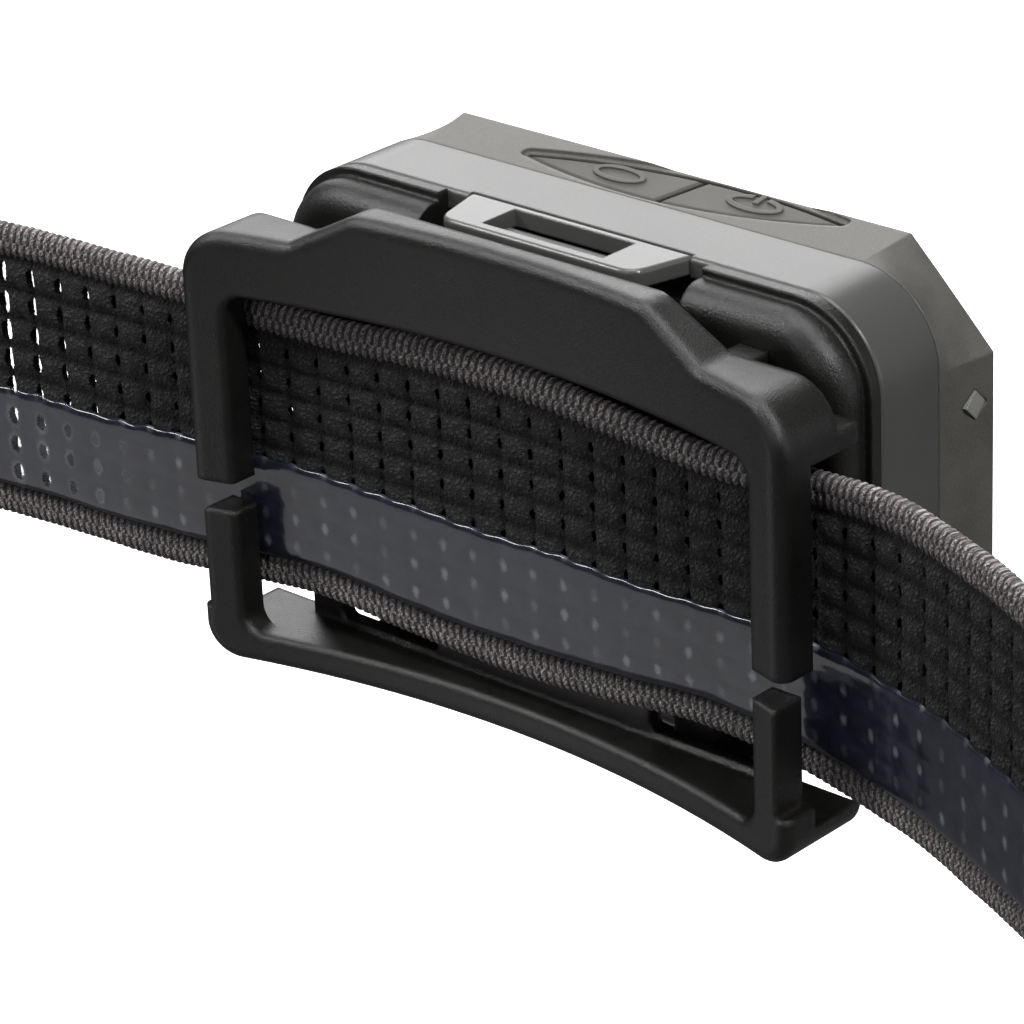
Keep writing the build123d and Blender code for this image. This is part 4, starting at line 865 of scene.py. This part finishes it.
@once
def phosphor_finish():
    """Yellow phosphor of a light emitter: fine powder under clear resin."""
    f = Finish("Emitter Phosphor")
    powder = f.noise(0.00008, 3.0, 0.7)
    colour = f.blend(f.between(powder, 0.3, 0.7), (0.75, 0.58, 0.10), (0.90, 0.80, 0.25))
    return f.set(base_color=colour, roughness=0.35, coat_weight=0.8, coat_roughness=0.05)


@once
def foil_finish():
    """Silver laminate of the cell: creased foil with a soft shine and painted shade in the low folds."""
    f = Finish("Cell Foil")
    crease = f.noise(0.004, 5.0, 0.6)
    fine = f.noise(0.0005, 3.0, 0.6)
    # painted shade: the colour follows the crease bump, darker where it lies low
    colour = f.blend(f.between(crease, 0.3, 0.7), (0.42, 0.43, 0.45), (0.62, 0.63, 0.65))
    return f.set(
        base_color=colour, metallic=0.9, roughness=f.between(fine, 0.3, 0.7, 0.3, 0.45),
        normal=f.bump(crease, 0.00015),
    )


def moulded(name, colour, grain, depth, shine, edge_highlight_gain, radius):
    """A moulded finish of one of the scene's colours."""
    return moulded_finish(name, *(round(c, 5) for c in colour), grain, depth, shine, edge_highlight_gain, radius)


def dress(material, *nodes):
    """Gives CAD nodes their material. Their meshes stay as they are."""
    for node in nodes:
        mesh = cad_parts[node].data
        mesh.materials.clear()
        mesh.materials.append(material)


# ---------------------------------------------------------------- operators
class HEADLAMP_OT_band(bpy.types.Operator):
    """Knits the headband: pillowed middle and two ribbed edges along its route"""

    bl_idname = "headlamp.band"
    bl_label = "Knitted Band"

    def execute(self, context):
        size = context.scene.headlamp_band
        along, line = band_route()
        pieces = knitted_band(
            "headband", along, line, size, squeeze=size.squeeze / MM,
            near=lambda place: (place[:, 1] > -45) & (np.abs(place[:, 0]) < 90),
        )
        for piece in pieces:
            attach(piece, "headband")
        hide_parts("strap")
        return {"FINISHED"}


class HEADLAMP_OT_grip(bpy.types.Operator):
    """Lays the silicone strip on the head side of the band, with a scalloped upper edge"""

    bl_idname = "headlamp.grip"
    bl_label = "Silicone Grip Strip"

    def execute(self, context):
        size = context.scene.headlamp_band
        along, line = band_route()
        even = np.arange(0, along[-1], size.pillow_length / MM / 8)
        place, _ = stations(along, line, even)
        near = (place[:, 1] > -40) & (np.abs(place[:, 0]) < size.grip_reach / MM)
        where = even[near]
        place, normal = stations(along, line, where)
        top, bottom = band_edges(place, size.width / MM / 2, size.squeeze / MM)
        from_end = np.minimum(where - where.min(), where.max() - where)
        inward = np.clip(from_end / GRIP_END_RADIUS, 0, 1)
        ends = np.sqrt(inward * (2 - inward))
        u = where[:, None]
        scallop = 0.07 * np.cos(2 * math.pi * u / (size.pillow_length / MM))
        scallop = scallop * (1 + ripple(u, 0 * u, 23, 9)) + 0.42 * ripple(u, 0 * u, 21, 15)
        upper, lower = GRIP_TOP + scallop, GRIP_BOTTOM + 0.12 * ripple(u, 0 * u + 3, 22, 12)
        middle, half = (upper + lower) / 2, (upper - lower) / 2 * np.maximum(ends[:, None], 0.05)
        share = np.concatenate([np.linspace(-1, 1, 40), np.linspace(0.9, -0.9, 8)])
        face = np.concatenate([np.ones(40), np.zeros(8)])
        v = middle + half * share
        crown = face * (1 - np.abs(share) ** 7) ** 0.7
        knit = pillow_height(u, v, size.pillow_length / MM, size.pillow_height / MM)
        skin = GRIP_SKIN + GRIP_CROWN * crown * np.maximum(ends[:, None], 0.3) + 0.05 * knit
        skin = skin + 0.05 * ripple(u, v, 31, 9.0) + 0.02 * ripple(u, v, 32, 3.0)
        depth = np.where(face > 0, skin, GRIP_BACK)
        rows = laid_on_band(place, normal, top, bottom, size.width / MM, v, -depth)
        maps = np.stack([u + GRIP_MAP_SHIFT[0] + 0 * v, v + GRIP_MAP_SHIFT[1]], -1)
        piece = show("headband_grip", turned_out(grid_mesh("grip", rows, maps)), silicone_finish())
        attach(piece, "headband")
        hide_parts("grip_strip")
        return {"FINISHED"}


class HEADLAMP_OT_doubled_end(bpy.types.Operator):
    """Makes the doubled end of the band behind the head, its loop round the slider and their stitches"""

    bl_idname = "headlamp.doubled_end"
    bl_label = "Doubled End"

    def execute(self, context):
        size = context.scene.headlamp_band
        y = (RETURN_LOW[1] + RETURN_HIGH[1]) / 2
        start, end = RETURN_LOW[0], RETURN_HIGH[0]
        along, line = rounded_route([(start, y), ((start + end) / 2, y), (end, y)], [1.0])
        pieces = knitted_band("return", along, np.array(line), size)
        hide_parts("strap_return")
        for piece in pieces:
            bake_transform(piece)
        tail, far = LOOP_LOW[0] + 0.1, LOOP_HIGH[0] - LOOP_PLY
        near = far - LOOP_OPENING
        mouth = near - LOOP_MOUTH
        high = (LOOP_HIGH[1] - LOOP_LOW[1]) / 2 - LOOP_PLY
        route = [
            (tail, y - LOOP_PLY), (mouth, y - LOOP_PLY), (near, y - high), (far, y - high),
            (far, y + high), (near, y + high), (mouth, y + LOOP_PLY), (tail, y + LOOP_PLY),
        ]
        along, line = rounded_route(route, [0.5, 0.5, 0.9, 0.9, 0.5, 0.5])
        loop = knitted_band("end_loop", along, line, size, thickness=2 * LOOP_PLY)
        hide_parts("strap_end_loop")
        for piece in loop:
            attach(piece, "slider")
        length = size.stitch_length / MM
        z = np.arange(-STITCH_REACH, STITCH_REACH + 0.1, length + STITCH_GAP)
        second_row = (1.3, 0, 0.9)
        for name, body, x in (
            ("hem_stitches", "headband", RING_LOW[0] - 8.0),
            ("fold_stitches", "headband", start - 1.6),
            ("loop_stitches", "slider", tail + 2.2),
        ):
            row = np.stack([np.full(len(z), x), np.full(len(z), y - STITCH_DEPTH), z - length / 2], 1)
            starts = np.concatenate([row, row + second_row])
            mesh = stitch_mesh(name, starts, starts + (0, 0, length), STITCH_THICKNESS)
            piece = show(name, mesh, thread_finish())
            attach(piece, body)
        return {"FINISHED"}


class HEADLAMP_OT_mouldings(bpy.types.Operator):
    """Finishes the moulded plastic and rubber parts of the CAD frame"""

    bl_idname = "headlamp.mouldings"
    bl_label = "Moulded Parts"

    def execute(self, context):
        paint = colours()
        dress(
            moulded("Bracket Plastic", paint.bracket_colour, 0.00022, 0.00006, 0.30, 7.0, 0.0009),
            "bracket",
        )
        dress(
            moulded("Buckle Plastic", paint.bracket_colour, 0.00022, 0.00003, 0.40, 5.0, 0.0003),
            "strap_ring", "slider",
        )
        dress(
            moulded("Rear Cover Plastic", paint.case_colour, 0.00024, 0.00007, 0.28, 7.0, 0.0005),
            "battery_case",
        )
        dress(
            moulded("Housing Plastic", paint.housing_colour, 0.00018, 0.00002, 0.46, 1.8, 0.0004),
            "front_housing",
        )
        dress(moulded("Inlay Plastic", (0.20, 0.20, 0.19), 0.0002, 0.00001, 0.4, 1.3, 0.0001), "side_inlay")
        dress(
            moulded("Inner Plastic", (0.03, 0.03, 0.032), 0.0003, 0.00002, 0.45, 2.0, 0.0002),
            "battery_shell", "bulkhead", "bezel",
        )
        button = tuple(round(c * 0.92, 5) for c in paint.housing_colour)
        dress(rubber_finish("Button Rubber", *button, 0.5), "main_button", "mode_button")
        dress(rubber_finish("Seal Rubber", 0.015, 0.015, 0.015, 0.6), "case_seal", "lens_gasket")
        return {"FINISHED"}


class HEADLAMP_OT_clear_parts(bpy.types.Operator):
    """Finishes the smoky frame, the latch tab, the lenses and the cover"""

    bl_idname = "headlamp.clear_parts"
    bl_label = "Clear Parts"

    def execute(self, context):
        dress(smoky_finish("Smoky Frame Plastic", 0.30, 0.5), "light_frame")
        dress(smoky_finish("Smoky Tab Plastic", 0.18, 0.3), "latch_tab")
        dress(optic_finish("Clear Cover", 0.97, 0.98, 0.98, 0.02), "cover_lens")
        dress(optic_finish("Flood Optic", 0.95, 0.96, 0.96, 0.12), "flood_lens")
        dress(optic_finish("Red Optic", 0.75, 0.06, 0.05, 0.05), "red_lens")
        return {"FINISHED"}


class HEADLAMP_OT_works(bpy.types.Operator):
    """Finishes the boards, light emitters, reflector, cell, contacts, pins and screws"""

    bl_idname = "headlamp.works"
    bl_label = "Works"

    def execute(self, context):
        dress(metal_finish("Turned Steel", 0.55, 0.55, 0.56, 0.28), "tilt_pin", "door_pin", "housing_screws")
        dress(metal_finish("Spring Steel", 0.48, 0.48, 0.50, 0.25), "detent_spring", "tactile_switches")
        dress(metal_finish("Socket Steel", 0.62, 0.62, 0.64, 0.3), "charge_socket")
        dress(metal_finish("Contact Plating", 0.85, 0.62, 0.25, 0.2), "battery_contacts")
        dress(metal_finish("Reflector Plating", 0.88, 0.88, 0.89, 0.04), "reflector")
        dress(board_finish("Green Board", 0.015, 0.10, 0.04), "control_board", "charge_board", "button_board")
        dress(board_finish("White Board", 0.62, 0.62, 0.60), "light_board")
        dress(phosphor_finish(), "main_led", "flood_led")
        dress(optic_finish("Red Emitter", 0.70, 0.05, 0.04, 0.1), "red_led")
        dress(foil_finish(), "battery_cell")
        return {"FINISHED"}


class HEADLAMP_OT_stage(bpy.types.Operator):
    """Sets the pale floor, the soft lights and the camera"""

    bl_idname = "headlamp.stage"
    bl_label = "Stage"

    def execute(self, context):
        stage = context.scene.headlamp_stage
        scene = context.scene
        scene.view_settings.view_transform = "Standard"
        a, e, roll = stage.azimuth, stage.elevation, stage.roll
        back = Vector((math.sin(a) * math.cos(e), -math.cos(a) * math.cos(e), math.sin(e)))
        level = Vector((math.cos(a), math.sin(a), 0))
        tall = back.cross(level)
        right = level * math.cos(roll) + tall * math.sin(roll)
        up = -level * math.sin(roll) + tall * math.cos(roll)
        camera = bpy.data.objects.new("Camera", bpy.data.cameras.new("Camera"))
        turn = Matrix((right, up, back)).transposed()
        camera.matrix_world = Matrix.Translation(
            right * stage.aim_right + up * stage.aim_up + back * stage.distance
        ) @ turn.to_4x4()
        camera.data.lens = stage.lens
        camera.data.sensor_width = 36.0
        camera.data.clip_start, camera.data.clip_end = 0.01, 20.0
        scene.collection.objects.link(camera)
        scene.camera = camera
        self.floor(stage)
        self.lights(scene, stage)
        return {"FINISHED"}

    def floor(self, stage):
        """A pale sheet that lies flat and curves up far away: its height is a soft step of the distance."""
        side = FLOOR_REACH * np.linspace(-1, 1, FLOOR_POINTS)
        x, y = np.meshgrid(side, side)
        z = -stage.floor_drop + FLOOR_RISE * soft_step(FLOOR_FLAT, FLOOR_RISEN, np.hypot(x, y))
        index = np.arange(FLOOR_POINTS**2).reshape(FLOOR_POINTS, FLOOR_POINTS)
        quads = np.stack([index[:-1, :-1], index[:-1, 1:], index[1:, 1:], index[1:, :-1]], -1).reshape(-1, 4)
        mesh = bpy.data.meshes.new("Floor")
        mesh.from_pydata(np.stack([x, y, z], -1).reshape(-1, 3).tolist(), [], quads.tolist())
        f = Finish("Pale Floor")
        haze = f.noise(0.15, 2.0, 0.5)
        f.set(
            base_color=f.blend(haze, (0.90, 0.90, 0.90), (0.93, 0.93, 0.93)), roughness=0.9,
            emission_color=(1.0, 1.0, 1.0), emission_strength=0.86,
        )
        sheet = show("floor", mesh, f.material)
        # the lamp hangs free of the floor, so its gloss and shade don't come from it
        sheet.visible_glossy = False
        sheet.visible_diffuse = False
        sheet.visible_shadow = False

    def lights(self, scene, stage):
        """Faint even light from all round and seven soft lamps. Each lamp is given by its direction from the
        headlamp, its distance, the side of its square and how bright its face is."""
        world = bpy.data.worlds.new("Even Light")
        world.use_nodes = True
        background = world.node_tree.nodes["Background"]
        background.inputs["Color"].default_value = (1.0, 1.0, 1.0, 1.0)
        background.inputs["Strength"].default_value = stage.backdrop_light
        scene.world = world
        for name, toward, distance, size, brightness in (
            ("Top Soft Box", (-0.10, 0.00, 1.00), 0.75, 0.42, 6.8),
            ("Back Soft Box", (-0.62, 0.66, 0.46), 0.90, 0.60, 3.3),
            ("Low Soft Box", (-0.60, -0.68, -0.40), 0.60, 0.34, 0.75),
            ("Right Soft Box", (0.60, -0.16, 0.72), 0.80, 0.12, 85.0),
            ("Left Soft Box", (-0.62, -0.39, 0.64), 0.80, 0.20, 24.0),
            ("Side Soft Box", (0.90, 0.30, 0.15), 0.80, 0.30, 2.2),
            ("Rear Soft Box", (0.05, -0.95, 0.45), 0.90, 0.30, 3.2),
        ):
            place = Vector(toward).normalized() * distance
            lamp = bpy.data.objects.new(name, bpy.data.lights.new(name, "AREA"))
            lamp.data.size = size
            lamp.data.energy = brightness * math.pi * size**2 * stage.lamp_light
            lamp.location = place
            lamp.rotation_mode = "QUATERNION"
            lamp.rotation_quaternion = place.to_track_quat("Z", "Y")
            scene.collection.objects.link(lamp)


class HEADLAMP_PT_panel(bpy.types.Panel):
    """Lists the headlamp's settings and operators"""

    bl_label = "Headlamp"
    bl_space_type = "VIEW_3D"
    bl_region_type = "UI"
    bl_category = "Headlamp"

    def draw(self, context):
        layout = self.layout
        for group in ("headlamp_band", "headlamp_finish", "headlamp_stage"):
            box = layout.box()
            settings = getattr(context.scene, group)
            for name in settings.__annotations__:
                box.prop(settings, name)
        for operator in OPERATORS:
            layout.operator(operator.bl_idname)


GROUPS = (HeadlampBand, HeadlampFinish, HeadlampStage)
OPERATORS = (
    HEADLAMP_OT_band, HEADLAMP_OT_grip, HEADLAMP_OT_doubled_end, HEADLAMP_OT_mouldings,
    HEADLAMP_OT_clear_parts, HEADLAMP_OT_works, HEADLAMP_OT_stage,
)
CLASSES = (*GROUPS, *OPERATORS, HEADLAMP_PT_panel)


def register():
    for kind in CLASSES:
        bpy.utils.register_class(kind)
    bpy.types.Scene.headlamp_band = PointerProperty(type=HeadlampBand)
    bpy.types.Scene.headlamp_finish = PointerProperty(type=HeadlampFinish)
    bpy.types.Scene.headlamp_stage = PointerProperty(type=HeadlampStage)


def unregister():
    for name in ("headlamp_band", "headlamp_finish", "headlamp_stage"):
        delattr(bpy.types.Scene, name)
    for kind in reversed(CLASSES):
        bpy.utils.unregister_class(kind)


def main():
    """Registers the add-on and makes every piece and the stage."""
    register()
    bpy.ops.headlamp.band()
    bpy.ops.headlamp.grip()
    bpy.ops.headlamp.doubled_end()
    bpy.ops.headlamp.mouldings()
    bpy.ops.headlamp.clear_parts()
    bpy.ops.headlamp.works()
    bpy.ops.headlamp.stage()
    bpy.context.view_layer.update()


if __name__ == "__main__":
    main()
